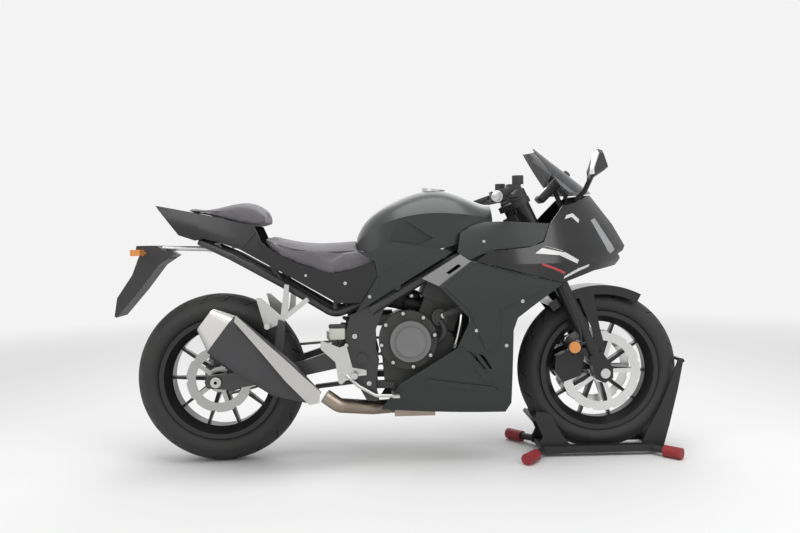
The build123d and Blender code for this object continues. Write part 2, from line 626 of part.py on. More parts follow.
# ---------------------------------------------------------------- front bodywork
cowl_levels = [
    (170, 560, -118, 800, -158, 1090, -140),
    (300, 560, -156, 820, -196, 1100, -186),
    (460, 560, -176, 860, -216, 1130, -208),
    (620, 700, -186, 960, -230, 1260, -206),
    (735, 760, -178, 1000, -224, 1280, -196),
    (870, 840, -150, 1040, -188, 1280, -150),
]
CREASE = 4.0                 # height of the stepped panels over the shells they stand on


def raised(levels, step, tip_step):
    """The rows of band() with the panel moved outwards by a step, and by another at its front."""
    return [(z, x0, y0 - step, x1, y1 - step, x2, y2 - tip_step)
            for z, x0, y0, x1, y1, x2, y2 in levels]


cowl_shell = band(cowl_levels, PANEL)
lower_outline = [
    (802, 647), (914, 733), (1236, 648), (1120, 565), (1075, 531), (1060, 488), (1056, 222),
    (1036, 188), (590, 202), (660, 300), (861, 427), (908, 529),
]
upper_outline = [
    (868, 764), (912, 737), (980, 770), (1132, 782), (1170, 800), (1198, 861), (1093, 867),
    (988, 876), (920, 856), (880, 832),
]
side_cowl_right = cowl_shell & side_prism(lower_outline, -300, -10)
cowl_skin = band(raised(cowl_levels, CREASE, CREASE), PANEL + 1)
for outline in (
    [(926, 724), (1214, 648), (1010, 563), (1013, 470), (985, 420), (960, 420), (905, 560), (820, 644)],
    [(752, 318), (988, 286), (1006, 272), (1000, 262), (750, 300)],
    [(868, 428), (882, 430), (960, 340), (984, 296), (972, 290)],
):
    side_cowl_right += cowl_skin & side_prism(outline, -300, -10)
for outline in (
    [(900, 418), (922, 404), (962, 352), (954, 352)],
    [(936, 408), (956, 398), (984, 352), (976, 350)],
):
    side_cowl_right -= side_prism(outline, -300, -100)
side_cowl_left = mirrored(side_cowl_right)
upper_cowl_right = cowl_shell & side_prism(upper_outline, -300, -10)
upper_cowls = both(upper_cowl_right)
cowl_core = core(cowl_levels, PANEL)
for reach in ((-300, -140), (140, 300)):
    main_frame += disc_y(908, *reach, 612, 9) & cowl_core
for reach in ((-300, -92), (92, 300)):
    main_frame += disc_y(942, *reach, 776, 8) & cowl_core
trim_outline = [(742, 673), (802, 645), (914, 732), (876, 757)]
trim_flank = flank([
    (730, -168, 600, -172, 700, -168, 780),
    (930, -216, 600, -220, 700, -214, 780),
], PANEL)
side_trim = trim_flank & side_prism(trim_outline, -300, -10)
side_trim -= side_prism([(826, 692), (838, 687), (880, 716), (869, 723)], -300, -10)
side_trims = both(side_trim - side_cowl_right - upper_cowl_right)

nose_levels = [
    (640, 900, -216, 1200, -214, 1440, 0),
    (720, 900, -216, 1220, -204, 1505, 0),
    (777, 900, -212, 1230, -190, 1524, 0),
    (858, 960, -186, 1220, -166, 1477, 0),
    (968, 1040, -150, 1200, -136, 1392, 0),
]
nose_outline = [
    (930, 732), (980, 766), (1132, 778), (1174, 796), (1204, 861), (1284, 955), (1392, 968),
    (1560, 900), (1560, 778), (1491, 747), (1505, 731), (1484, 704), (1371, 688), (1240, 650),
]
nose_shell = band(nose_levels, PANEL, ruled=True)
nose_half = nose_shell & side_prism(nose_outline, -300, 0)
chin_outline = [
    (1010, 768), (1120, 778), (1152, 788), (1310, 742), (1430, 738), (1497, 726), (1484, 704), (1371, 688),
    (1240, 650), (1000, 714),
]
nose_half += band(raised(nose_levels, CREASE, 0), PANEL, ruled=True) & side_prism(chin_outline, -300, -60)
lamp_outline = [(1372, 872), (1392, 880), (1470, 762), (1450, 748), (1434, 760)]
headlamp = nose_shell & side_prism(lamp_outline, -300, -24)
nose_half = nose_half - headlamp - upper_cowl_right
nose_cowl = nose_half + mirrored(nose_half)

screen_levels = [
    (972, 1272, -132, 1350, -104, 1389, 0),
    (1050, 1216, -120, 1262, -92, 1292, 0),
    (SCREEN_TOP_Z, 1160, -92, 1176, -66, 1188, 0),
]
screen_half = band(screen_levels, 3.0)
windscreen = screen_half + mirrored(screen_half)

dash = Pos(along(1250), 0, 1000) * Rot(0, 42, 0) * Box(30, 150, 90)
fairing_stay = rod((steer_x(832) + 33, 0, 832), (1300, 0, 832), 12)
fairing_stay += pipe([(1292, 0, 832), (1296, -50, 880), (1308, -66, 930)], 9, 20)
fairing_stay += pipe([(1292, 0, 832), (1296, 50, 880), (1308, 66, 930)], 9, 20)
fairing_stay += pipe([(1290, 0, 832), (1296, 0, 900), (1257, 0, 990)], 9, 30)
fairing_stay = fairing_stay - dash - main_frame - nose_cowl

mirror_outline = [(1322, 1101), (1337, 1096), (1356, 1041), (1343, 1030), (1299, 1001), (1298, 1031)]


def mirror_section(y, share):
    """Cross-section of a mirror head at y, shrunk about its middle."""
    points = [(along(1326 + (x - 1326) * share), y, 1050 + (z - 1050) * share)
              for x, z in mirror_outline]
    return make_face(Polyline(*points, close=True))


mirror_right = loft([mirror_section(y, share) for y, share in
                     ((-282, 0.62), (-306, 0.98), (-360, 1.0), (-386, 0.72))], ruled=True)
mirror_right += rod((1326, -296, 1034), (1336, -140, 976), 9)
mirror_right += rod((1336, -140, 976), (1310, -62, 936), 9)
mirror_right -= nose_cowl + windscreen + fairing_stay
mirrors = both(mirror_right.solids().sort_by(SortBy.VOLUME)[-1])

# ---------------------------------------------------------------- foot rests and rear brake
hanger_outline = [
    (379, 458), (447, 432), (470, 440), (490, 360), (540, 350), (540, 332), (480, 326),
    (450, 300), (440, 306), (430, 380), (379, 428),
]
HANGER_Y = PLATE_Y + PLATE_W + 0.5
rider_rest = side_prism(hanger_outline, -HANGER_Y - 12, -HANGER_Y)
rider_rest += rod((500, -HANGER_Y - 12, 340), (500, -HANGER_Y - 100, 344), 11)
brake_pedal = pipe([(468, -HANGER_Y - 9, 332), (512, -184, 296), (572, -188, 262), (640, -190, 260)], 6, 10)
brake_pedal += block(632, 656, -212, -184, 256, 266)
gear_lever = pipe([(468, HANGER_Y + 9, 332), (516, 184, 314), (606, 186, 318)], 6, 10)
gear_lever += disc_y(606, 180, 214, 318, 8)
rider_rests = Compound(children=[*(rider_rest + brake_pedal).solids(),
                                 *(mirrored(rider_rest) + gear_lever).solids()])
pillion_outline = [
    (149, 612), (165, 612), (236, 548), (252, 660), (268, 656), (262, 560), (330, 612),
    (340, 598), (240, 520), (190, 500), (176, 514),
]
pillion_rest = side_prism(pillion_outline, -PILLION_Y - PILLION_W, -PILLION_Y)
pillion_rest += rod((196, -PILLION_Y - PILLION_W, 516), (196, -PILLION_Y - 80, 516), 10)
pillion_rests = both(pillion_rest)

REAR_PAD_Y = -REAR_DISC_Y    # the disc runs in the middle of its caliper
caliper_outline = by_axle(REAR_AXLE, [(-20, 134), (62, 134), (88, 96), (60, 44), (20, 50),
                                      (-30, 84)])
rear_caliper = side_prism(caliper_outline, -REAR_PAD_Y - 24, -REAR_PAD_Y + 16)
rear_caliper += block(34, 80, -ARM_Y + SEAT_GAP, -REAR_PAD_Y - 20, REAR_TYRE_R + 8, REAR_TYRE_R + 60)
rear_caliper -= disc_y(0, -REAR_PAD_Y - DISC_THICK / 2 - PAD_GAP, -REAR_PAD_Y + DISC_THICK / 2 + PAD_GAP,
                       REAR_TYRE_R, REAR_DISC_R + EDGE_GAP)

# ---------------------------------------------------------------- side stand
STAND_PIVOT = Vector(560.0, 166.0, 256.0)
STAND_FOOT = Vector(330.0, 200.0, 228.0)
STAND_AXIS = Vector(-0.078, 0.971, 0.224)     # tilted, so that the leg splays as it swings down
STAND_PIN_R = 7.0


def on_pin(along):
    """A point on the side stand's pin."""
    return tuple(STAND_PIVOT + STAND_AXIS * along)


stand_boss = rod((560, 140, 256), on_pin(-5), 13) + rod(on_pin(-9), on_pin(24), STAND_PIN_R)
main_frame += stand_boss
side_stand = rod(on_pin(-0.7), on_pin(17), 15) + rod(on_pin(8), tuple(STAND_FOOT), 10)
side_stand += Pos(*(STAND_FOOT + Vector(-8, 6, -4))) * Box(44, 34, 8)
side_stand -= rod(on_pin(-5), on_pin(40), STAND_PIN_R + RUNNING_GAP)

# ---------------------------------------------------------------- steering
FORK_TOP_Z = TOP_CLAMP_Z + 71.0
TUBE_FOOT_Z = 470.0


def leg_point(z, y):
    """A point on a fork leg's axis."""
    return (fork_x(z), y, z)


fork_leg = rod(leg_point(TUBE_FOOT_Z, -FORK_SPREAD), leg_point(FORK_TOP_Z, -FORK_SPREAD),
               FORK_TUBE_R)
fork_leg += rod(leg_point(330, -FORK_SPREAD), leg_point(TUBE_FOOT_Z + 4, -FORK_SPREAD),
                FORK_SLIDER_R)
fork_foot = by_axle(FRONT_AXLE, [(-32, -22), (0, -36), (30, -18), (30, 18), (-10, 80), (-58, 60)])
fork_leg += side_prism(fork_foot, -FORK_SPREAD - 18, -FORK_SPREAD + 18)
fork_legs = fork_leg + mirrored(fork_leg)
front_axle = disc_y(FRONT_AXLE[0], -FORK_SPREAD - 24, FORK_SPREAD + 24, FRONT_AXLE[2], AXLE_R)
for side in (-1, 1):
    a, b = side * (HUB_HALF_FRONT + 0.5), side * (FORK_SPREAD - 18)
    front_axle += disc_y(FRONT_AXLE[0], min(a, b), max(a, b), FRONT_AXLE[2], 16)
    a, b = side * (FORK_SPREAD + 18), side * (FORK_SPREAD + 26)
    front_axle += disc_y(FRONT_AXLE[0], min(a, b), max(a, b), FRONT_AXLE[2], 18)
fork_legs -= disc_y(FRONT_AXLE[0], -200, 200, FRONT_AXLE[2], AXLE_R)

steer_dir = Vector(-SIN_RAKE, 0, COS_RAKE)


def clamp(z, thick):
    """Fork clamp, square to the steering axis at height z: three rings in one plate."""
    plane = Plane(origin=placed((steer_x(z), 0, z)), x_dir=(0, 1, 0), z_dir=steer_dir)
    ahead = (fork_x(z) - steer_x(z)) * COS_RAKE
    rings = [Pos(FORK_SPREAD * side, -ahead) * Circle(FORK_TUBE_R + 8) for side in (-1, 1)]
    rings.append(Circle(30))
    plate = make_hull([edge for ring in rings for edge in ring.edges()])
    return extrude(plane * plate, amount=thick)


clamps = clamp(LOW_CLAMP_Z, CLAMP_THICK) + clamp(TOP_CLAMP_Z, 22)
clamps += rod((steer_x(LOW_CLAMP_Z), 0, LOW_CLAMP_Z), (steer_x(TOP_CLAMP_Z + 30), 0, TOP_CLAMP_Z + 30),
              15.5)
clamps -= fork_legs
STEM_BORE_R = 9.0            # takes a head-lift stand's pin from below
STEM_BORE_DEPTH = 60.0
stem_foot = Vector(steer_x(LOW_CLAMP_Z), 0, LOW_CLAMP_Z)
clamps -= rod(tuple(stem_foot - steer_dir * 5), tuple(stem_foot + steer_dir * STEM_BORE_DEPTH),
              STEM_BORE_R)

GRIP_IN = (1092.0, -150.0, 985.0)
GRIP_OUT = (988.0, -348.0, 950.0)
BAR_IN = (fork_x(966), -FORK_SPREAD - 10, 968)
grip_run = Vector(*GRIP_OUT) - Vector(*GRIP_IN)
bar = rod(BAR_IN, GRIP_OUT, 11)
bar += rod((fork_x(952), -FORK_SPREAD, 952), (fork_x(980), -FORK_SPREAD, 980), 33)
bar -= rod(leg_point(900, -FORK_SPREAD), leg_point(FORK_TOP_Z + 30, -FORK_SPREAD), FORK_TUBE_R)
grip_start = Vector(*GRIP_IN) + grip_run * 0.42
bar += rod(tuple(grip_start), GRIP_OUT, 17)
bar += Pos(placed(Vector(*GRIP_IN) + grip_run * 0.24)) * Box(46, 54, 44)
bar += rod((1096, -168, 990), (1036, -345, 952), 6)
bar += rod((1084, -196, 1000), (1084, -196, 1030), 20)
bar += rod((1084, -196, 970), (1084, -196, 1001), 10)
handlebars = bar + mirrored(bar)

GUARD_R = FRONT_TYRE_R + 16.0
guard_a, guard_b = math.radians(62), math.radians(128)


def wheel_point(radius, turn):
    """Point beside the front wheel, by radius and turn from forward."""
    return (FRONT_AXLE[0] + radius * math.cos(turn), FRONT_AXLE[2] + radius * math.sin(turn))


mid_turn = (guard_a + guard_b) / 2


def guard_prism(radius_in, radius_out, half):
    """Sector of a ring round the front axle."""
    a, m, b = (wheel_point(radius_out, t) for t in (guard_a, mid_turn, guard_b))
    c, n, d = (wheel_point(radius_in, t) for t in (guard_b, mid_turn, guard_a))
    lift = [(along(x), -half, z) for x, z in (a, m, b, c, n, d)]
    face = make_face([ThreePointArc(lift[0], lift[1], lift[2]), Line(lift[2], lift[3]),
                      ThreePointArc(lift[3], lift[4], lift[5]), Line(lift[5], lift[0])])
    return extrude(face, amount=2 * half, dir=(0, 1, 0))


GUARD_HALF = 76.5
GUARD_SKIN = 3.5
front_guard = guard_prism(GUARD_R - 30, GUARD_R + 4, GUARD_HALF)
front_guard -= guard_prism(GUARD_R - 60, GUARD_R, GUARD_HALF - GUARD_SKIN)
wing_outline = by_axle(FRONT_AXLE, [(-88, 288), (-26, 288), (-6, 168), (14, 88), (8, 60),
                                    (-14, 60), (-34, 158)])
wing = side_prism(wing_outline, -GUARD_HALF, -GUARD_HALF + GUARD_SKIN)
wing += disc_y(FRONT_AXLE[0] - 2, -FORK_SPREAD + 18 + SEAT_GAP, -GUARD_HALF + 1, FRONT_AXLE[2] + 68, 9)
front_guard += wing + mirrored(wing)

caliper_outline = by_axle(FRONT_AXLE, [(-172, 60), (-110, 86), (-66, 60), (-80, -12),
                                       (-148, -36), (-178, 6)])
front_caliper = side_prism(caliper_outline, -FRONT_DISC_Y - 22, -FRONT_DISC_Y + 20)
front_caliper -= disc_y(FRONT_AXLE[0], -FRONT_DISC_Y - DISC_THICK / 2 - PAD_GAP,
                        -FRONT_DISC_Y + DISC_THICK / 2 + PAD_GAP, FRONT_AXLE[2],
                        FRONT_DISC_R + EDGE_GAP)
front_caliper += side_prism(by_axle(FRONT_AXLE, [(-110, 86), (-66, 60), (-38, 28), (-30, 60), (-70, 93)]),
                            -FORK_SPREAD - 4, -FRONT_DISC_Y - 6)
front_caliper -= fork_leg
front_calipers = both(front_caliper)

# ---------------------------------------------------------------- wheel chock
RAIL_OUT = 84.0
chock_frame = block(1180, 1600, -RAIL_OUT - 14, -RAIL_OUT + 14, 14, 40)
chock_frame += rod((1190, -RAIL_OUT, 26), (1138, -150, 24), 13)
chock_frame += rod((1590, -RAIL_OUT, 26), (1636, -134, 24), 13)
front_plate = [
    (1560, 40), (1560, 24), (1640, 24), (1664, 110), (1696, 240), (1718, 352), (1700, 356),
    (1668, 270), (1630, 180), (1580, 90),
]
cradle_plate = [
    (1176, 40), (1290, 40), (1262, 76), (1214, 160), (1168, 166), (1160, 140), (1190, 70),
]
chock_frame += side_prism(front_plate, -78, -72)
chock_frame += side_prism(cradle_plate, -78, -72)
chock_frame += block(1176, 1290, -84, -72, 14, 44)
chock_frame += block(1560, 1640, -84, -72, 14, 44)
chock_frame += mirrored(chock_frame)
chock_frame += block(1184, 1210, -RAIL_OUT, RAIL_OUT, 14, 34)
chock_frame += block(1600, 1624, -RAIL_OUT, RAIL_OUT, 14, 34)
for turn, bar_r in ((214.0, 9.0), (6.0, 6.0)):
    x, z = wheel_point(FRONT_TYRE_R + bar_r + 1.0, math.radians(turn))
    chock_frame += disc_y(x, -78, 78, z, bar_r)
cap_spots = [((1150, -136, 22), (1104, -194, 22)), ((1626, -124, 22), (1672, -172, 22))]
chock_caps = None
for a, b in cap_spots:
    cap = rod(a, b, 21)
    cap -= chock_frame
    chock_caps = cap if chock_caps is None else chock_caps + cap
chock_caps = both(chock_caps)

# ---------------------------------------------------------------- nodes
nodes = {
    "main_frame": main_frame,
    "subframe": subframe,
    "swingarm": swingarm,
    "rear_axle": rear_axle_bar,
    "rear_shock": rear_shock,
    "drive_chain": drive_chain,
    "engine_case": engine_case,
    "engine_top": engine_top,
    "engine_covers": Compound(children=[*clutch_cover.solids(), *generator_cover.solids()]),
    "radiator": radiator,
    "header_pipes": header_pipes,
    "muffler": muffler,
    "muffler_cap": muffler_cap,
    "heat_shield": heat_shield,
    "fuel_tank": fuel_tank,
    "tank_cap": tank_cap,
    "rider_seat": rider_seat,
    "pillion_seat": pillion_seat,
    "tail_cowl_right": tail_cowl_right,
    "tail_cowl_left": tail_cowl_left,
    "tail_light": tail_light,
    "side_covers": side_covers,
    "plate_arm": plate_arm,
    "rear_guard": rear_guard,
    "rear_indicators": rear_indicators,
    "side_cowl_right": side_cowl_right,
    "side_cowl_left": side_cowl_left,
    "upper_cowls": upper_cowls,
    "side_trims": side_trims,
    "nose_cowl": nose_cowl,
    "headlamps": both(headlamp),
    "windscreen": windscreen,
    "dash": dash,
    "fairing_stay": fairing_stay,
    "tail_spine": Compound(children=[*tail_spine.solids(), *under_tray.solids()]),
    "mirrors": mirrors,
    "rider_rests": rider_rests,
    "pillion_rests": pillion_rests,
    "rear_caliper": rear_caliper,
    "side_stand": side_stand,
    "fork_legs": fork_legs,
    "fork_clamps": clamps,
    "front_axle": front_axle,
    "handlebars": handlebars,
    "front_guard": front_guard,
    "front_calipers": front_calipers,
    "chock_frame": chock_frame,
    "chock_caps": chock_caps,
    "front_tyre": front_tyre,
    "front_rim": front_rim,
    "front_discs": front_discs,
    "rear_tyre": rear_tyre,
    "rear_rim": rear_rim,
    "rear_disc": rear_disc,
    "rear_sprocket": rear_sprocket,
}
x_mid = (X_REAR_END + along(X_FRONT_END)) / 2
os.makedirs("parts", exist_ok=True)
for name, shape in nodes.items():
    export_step(Pos(-x_mid, 0, 0) * shape, f"parts/{name}.step")
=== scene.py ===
"""Sport bike in a wheel chock: its finishes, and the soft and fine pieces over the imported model.

Every length is in metres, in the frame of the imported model.
"""
from __future__ import annotations

import json
import logging
import math
from dataclasses import dataclass, field
from enum import Enum
from typing import Callable, Iterable, Sequence

import bpy
from mathutils import Matrix, Vector

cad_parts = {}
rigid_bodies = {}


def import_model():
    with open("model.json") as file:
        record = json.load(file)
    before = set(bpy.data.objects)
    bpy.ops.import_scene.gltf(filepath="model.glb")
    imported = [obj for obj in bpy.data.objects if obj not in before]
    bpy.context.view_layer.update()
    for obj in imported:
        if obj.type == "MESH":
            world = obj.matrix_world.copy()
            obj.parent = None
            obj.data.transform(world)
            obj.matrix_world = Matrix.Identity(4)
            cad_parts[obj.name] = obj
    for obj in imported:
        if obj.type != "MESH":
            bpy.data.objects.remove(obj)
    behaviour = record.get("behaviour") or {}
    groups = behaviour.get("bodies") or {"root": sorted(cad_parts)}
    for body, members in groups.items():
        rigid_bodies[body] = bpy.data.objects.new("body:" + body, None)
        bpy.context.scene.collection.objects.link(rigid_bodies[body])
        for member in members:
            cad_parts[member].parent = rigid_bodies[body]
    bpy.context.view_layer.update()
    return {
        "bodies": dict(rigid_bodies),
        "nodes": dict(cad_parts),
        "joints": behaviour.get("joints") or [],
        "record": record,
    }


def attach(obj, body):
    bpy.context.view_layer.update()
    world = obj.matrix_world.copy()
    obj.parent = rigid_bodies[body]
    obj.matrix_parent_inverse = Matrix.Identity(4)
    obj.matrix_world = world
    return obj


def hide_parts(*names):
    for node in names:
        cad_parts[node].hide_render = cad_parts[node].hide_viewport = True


LOG = logging.getLogger("sport_bike")
Point = tuple[float, float, float]
Colour = tuple[float, float, float]

MIDDLE_X = 0.681          # the model's middle, ahead of the rear axle
REAR_AXLE = Vector((-MIDDLE_X, 0.0, 0.312))
FRONT_AXLE = Vector((1.410 - MIDDLE_X, 0.0, 0.312))


class Body(Enum):
    """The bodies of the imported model."""

    CHASSIS = "chassis"
    STEERING = "steering_set"
    FRONT_WHEEL = "front_wheel"
    REAR_WHEEL = "rear_wheel"


class Pattern(Enum):
    """The surface patterns that a finish can have."""

    GRAIN = "surface_grain"
    LEATHER = "leather_grain"
    BRUSHED = "brushed_metal"
    TURNED = "turned_metal"


# ---------------------------------------------------------------- shader groups
class GroupBuilder:
    """Builds a shader node group with named inputs and outputs."""

    def __init__(self, name: str, inputs: Sequence[tuple[str, str]],
                 outputs: Sequence[tuple[str, str]]) -> None:
        """Start a group.

        Args:
            name: Name of the group.
            inputs: Socket names and kinds that go in.
            outputs: Socket names and kinds that come out.
        """
        self.tree = bpy.data.node_groups.new(name, "ShaderNodeTree")
        for label, kind in inputs:
            self.tree.interface.new_socket(name=label, in_out="INPUT", socket_type=kind)
        for label, kind in outputs:
            self.tree.interface.new_socket(name=label, in_out="OUTPUT", socket_type=kind)
        self.source = self.tree.nodes.new("NodeGroupInput")
        self.target = self.tree.nodes.new("NodeGroupOutput")

    def node(self, kind: str, **settings: object) -> bpy.types.Node:
        """Add a node.

        Args:
            kind: Blender's name of the node.
            settings: Attributes to set on it.

        Returns:
            The new node.
        """
        made = self.tree.nodes.new(kind)
        for key, value in settings.items():
            setattr(made, key, value)
        return made

    def link(self, start: bpy.types.NodeSocket, end: bpy.types.NodeSocket) -> None:
        """Join two sockets."""
        self.tree.links.new(start, end)

    def maths(self, operation: str, first: object, second: object) -> bpy.types.NodeSocket:
        """Add a maths node.

        Args:
            operation: Its operation.
            first: A socket or a number.
            second: A socket or a number.

        Returns:
            Its output.
        """
        made = self.node("ShaderNodeMath", operation=operation)
        for slot, value in zip(made.inputs, (first, second)):
            if isinstance(value, bpy.types.NodeSocket):
                self.link(value, slot)
            else:
                slot.default_value = value
        return made.outputs[0]

    def noise(self, vector: bpy.types.NodeSocket, scale: object,
              detail: float) -> bpy.types.NodeSocket:
        """Add a noise texture.

        Args:
            vector: Where it is read.
            scale: Its scale, a socket or a number.
            detail: Its number of octaves.

        Returns:
            Its value.
        """
        made = self.node("ShaderNodeTexNoise")
        made.inputs["Detail"].default_value = detail
        self.link(vector, made.inputs["Vector"])
        if isinstance(scale, bpy.types.NodeSocket):
            self.link(scale, made.inputs["Scale"])
        else:
            made.inputs["Scale"].default_value = scale
        return made.outputs["Fac"]

    def blend(self, factor: bpy.types.NodeSocket, first: bpy.types.NodeSocket,
              second: bpy.types.NodeSocket) -> bpy.types.NodeSocket:
        """Mix two colours by a factor.

        Args:
            factor: The share of the second colour.
            first: The first colour.
            second: The second colour.

        Returns:
            The mixed colour.
        """
        made = self.node("ShaderNodeMix", data_type="RGBA")
        self.link(factor, made.inputs[0])
        self.link(first, made.inputs[6])
        self.link(second, made.inputs[7])
        return made.outputs[2]

    def finish(self, colour: bpy.types.NodeSocket, roughness: bpy.types.NodeSocket,
               height: bpy.types.NodeSocket) -> bpy.types.ShaderNodeTree:
        """Join the three outputs that every surface group has.

        Args:
            colour: The surface's colour.
            roughness: The surface's roughness.
            height: The height of its relief.

        Returns:
            The finished group.
        """
        self.link(colour, self.target.inputs["Color"])
        self.link(roughness, self.target.inputs["Roughness"])
        self.link(height, self.target.inputs["Height"])
        return self.tree


SURFACE_INPUTS = (
    ("Vector", "NodeSocketVector"), ("Base", "NodeSocketColor"), ("Shade", "NodeSocketColor"),
    ("Scale", "NodeSocketFloat"), ("Mottle", "NodeSocketFloat"), ("Roughness", "NodeSocketFloat"),
    ("Spread", "NodeSocketFloat"),
)
SURFACE_OUTPUTS = (
    ("Color", "NodeSocketColor"), ("Roughness", "NodeSocketFloat"), ("Height", "NodeSocketFloat"),
)


class SurfaceGroups:
    """Builds each surface pattern's node group once and hands it out."""

    def __init__(self) -> None:
        """Start with no groups."""
        self.made: dict[Pattern, bpy.types.ShaderNodeTree] = {}

    def get(self, pattern: Pattern) -> bpy.types.ShaderNodeTree:
        """Give a pattern's group.

        Args:
            pattern: The pattern.

        Returns:
            Its node group.
        """
        if pattern not in self.made:
            builders: dict[Pattern, Callable[[GroupBuilder], bpy.types.ShaderNodeTree]] = {
                Pattern.GRAIN: self.grain,
                Pattern.LEATHER: self.leather,
                Pattern.BRUSHED: self.brushed,
                Pattern.TURNED: self.turned,
            }
            group = GroupBuilder(pattern.value, SURFACE_INPUTS, SURFACE_OUTPUTS)
            self.made[pattern] = builders[pattern](group)
        return self.made[pattern]

    @staticmethod
    def common(group: GroupBuilder, height: bpy.types.NodeSocket) -> bpy.types.ShaderNodeTree:
        """Finish a group with cloudy colour and a roughness that follows it.

        Args:
            group: The group under way.
            height: The height of its relief.

        Returns:
            The finished group.
        """
        given = group.source.outputs
        cloud = group.noise(given["Vector"], 9.0, 5.0)
        share = group.maths("MULTIPLY", cloud, given["Mottle"])
        colour = group.blend(share, given["Base"], given["Shade"])
        lift = group.maths("MULTIPLY", group.maths("SUBTRACT", cloud, 0.5), given["Spread"])
        return group.finish(colour, group.maths("ADD", given["Roughness"], lift), height)

    def grain(self, group: GroupBuilder) -> bpy.types.ShaderNodeTree:
        """Fine moulded or cast grain."""
        given = group.source.outputs
        return self.common(group, group.noise(given["Vector"], given["Scale"], 3.0))

    def leather(self, group: GroupBuilder) -> bpy.types.ShaderNodeTree:
        """Pebbled vinyl: rounded cells parted by creases."""
        given = group.source.outputs
        cells = group.node("ShaderNodeTexVoronoi", feature="DISTANCE_TO_EDGE")
        group.link(given["Vector"], cells.inputs["Vector"])
        group.link(given["Scale"], cells.inputs["Scale"])
        steep = group.maths("MULTIPLY", cells.outputs["Distance"], 3.0)
        crease = group.maths("MINIMUM", steep, 1.0)
        fine = group.noise(given["Vector"], group.maths("MULTIPLY", given["Scale"], 2.5), 2.0)
        return self.common(group, group.maths("ADD", crease, group.maths("MULTIPLY", fine, 0.3)))

    def brushed(self, group: GroupBuilder) -> bpy.types.ShaderNodeTree:
        """Metal brushed along X."""
        given = group.source.outputs
        stretch = group.node("ShaderNodeVectorMath", operation="MULTIPLY")
        group.link(given["Vector"], stretch.inputs[0])
        stretch.inputs[1].default_value = (0.02, 1.0, 1.0)
        return self.common(group, group.noise(stretch.outputs[0], given["Scale"], 4.0))

    def turned(self, group: GroupBuilder) -> bpy.types.ShaderNodeTree:
        """Metal turned on a lathe about Y: fine rings."""
        given = group.source.outputs
        apart = group.node("ShaderNodeSeparateXYZ")
        group.link(given["Vector"], apart.inputs[0])
        flat = group.node("ShaderNodeCombineXYZ")
        group.link(apart.outputs["X"], flat.inputs["X"])
        group.link(apart.outputs["Z"], flat.inputs["Y"])
        reach = group.node("ShaderNodeVectorMath", operation="LENGTH")
        group.link(flat.outputs[0], reach.inputs[0])
        ring = group.node("ShaderNodeCombineXYZ")
        group.link(reach.outputs["Value"], ring.inputs["X"])
        return self.common(group, group.noise(ring.outputs[0], given["Scale"], 4.0))


@dataclass(frozen=True)
class Finish:
    """One finish: colours, shine and the relief of its surface."""

    name: str
    base: Colour
    shade: Colour
    roughness: float
    metallic: float = 0.0
    pattern: Pattern = Pattern.GRAIN
    scale: float = 900.0
    relief: float = 0.05
    relief_depth: float = 0.0004
    mottle: float = 0.5
    spread: float = 0.08
    coat: float = 0.0
    coat_roughness: float = 0.05
    alpha: float = 1.0
    sheen: float = 0.0
    centre: Point = (0.0, 0.0, 0.0)

    def build(self, groups: SurfaceGroups) -> bpy.types.Material:
        """Make the material.

        Args:
            groups: The shared pattern groups.

        Returns:
            The material.
        """
        material = bpy.data.materials.new(self.name)
        material.use_nodes = True
        tree = material.node_tree
        shader = tree.nodes["Principled BSDF"]
        shader.inputs["Metallic"].default_value = self.metallic
        shader.inputs["Coat Weight"].default_value = self.coat
        shader.inputs["Coat Roughness"].default_value = self.coat_roughness
        shader.inputs["Alpha"].default_value = self.alpha
        shader.inputs["Sheen Weight"].default_value = self.sheen
        where = tree.nodes.new("ShaderNodeTexCoord")
        shift = tree.nodes.new("ShaderNodeMapping")
        shift.inputs["Location"].default_value = tuple(-value for value in self.centre)
        tree.links.new(where.outputs["Object"], shift.inputs["Vector"])
        surface = tree.nodes.new("ShaderNodeGroup")
        surface.node_tree = groups.get(self.pattern)
        tree.links.new(shift.outputs["Vector"], surface.inputs["Vector"])
        surface.inputs["Base"].default_value = (*self.base, 1.0)
        surface.inputs["Shade"].default_value = (*self.shade, 1.0)
        surface.inputs["Scale"].default_value = self.scale
        surface.inputs["Mottle"].default_value = self.mottle
        surface.inputs["Roughness"].default_value = self.roughness
        surface.inputs["Spread"].default_value = self.spread
        tree.links.new(surface.outputs["Color"], shader.inputs["Base Color"])
        tree.links.new(surface.outputs["Roughness"], shader.inputs["Roughness"])
        bump = tree.nodes.new("ShaderNodeBump")
        bump.inputs["Strength"].default_value = self.relief
        bump.inputs["Distance"].default_value = self.relief_depth
        tree.links.new(surface.outputs["Height"], bump.inputs["Height"])
        tree.links.new(bump.outputs["Normal"], shader.inputs["Normal"])
        return material


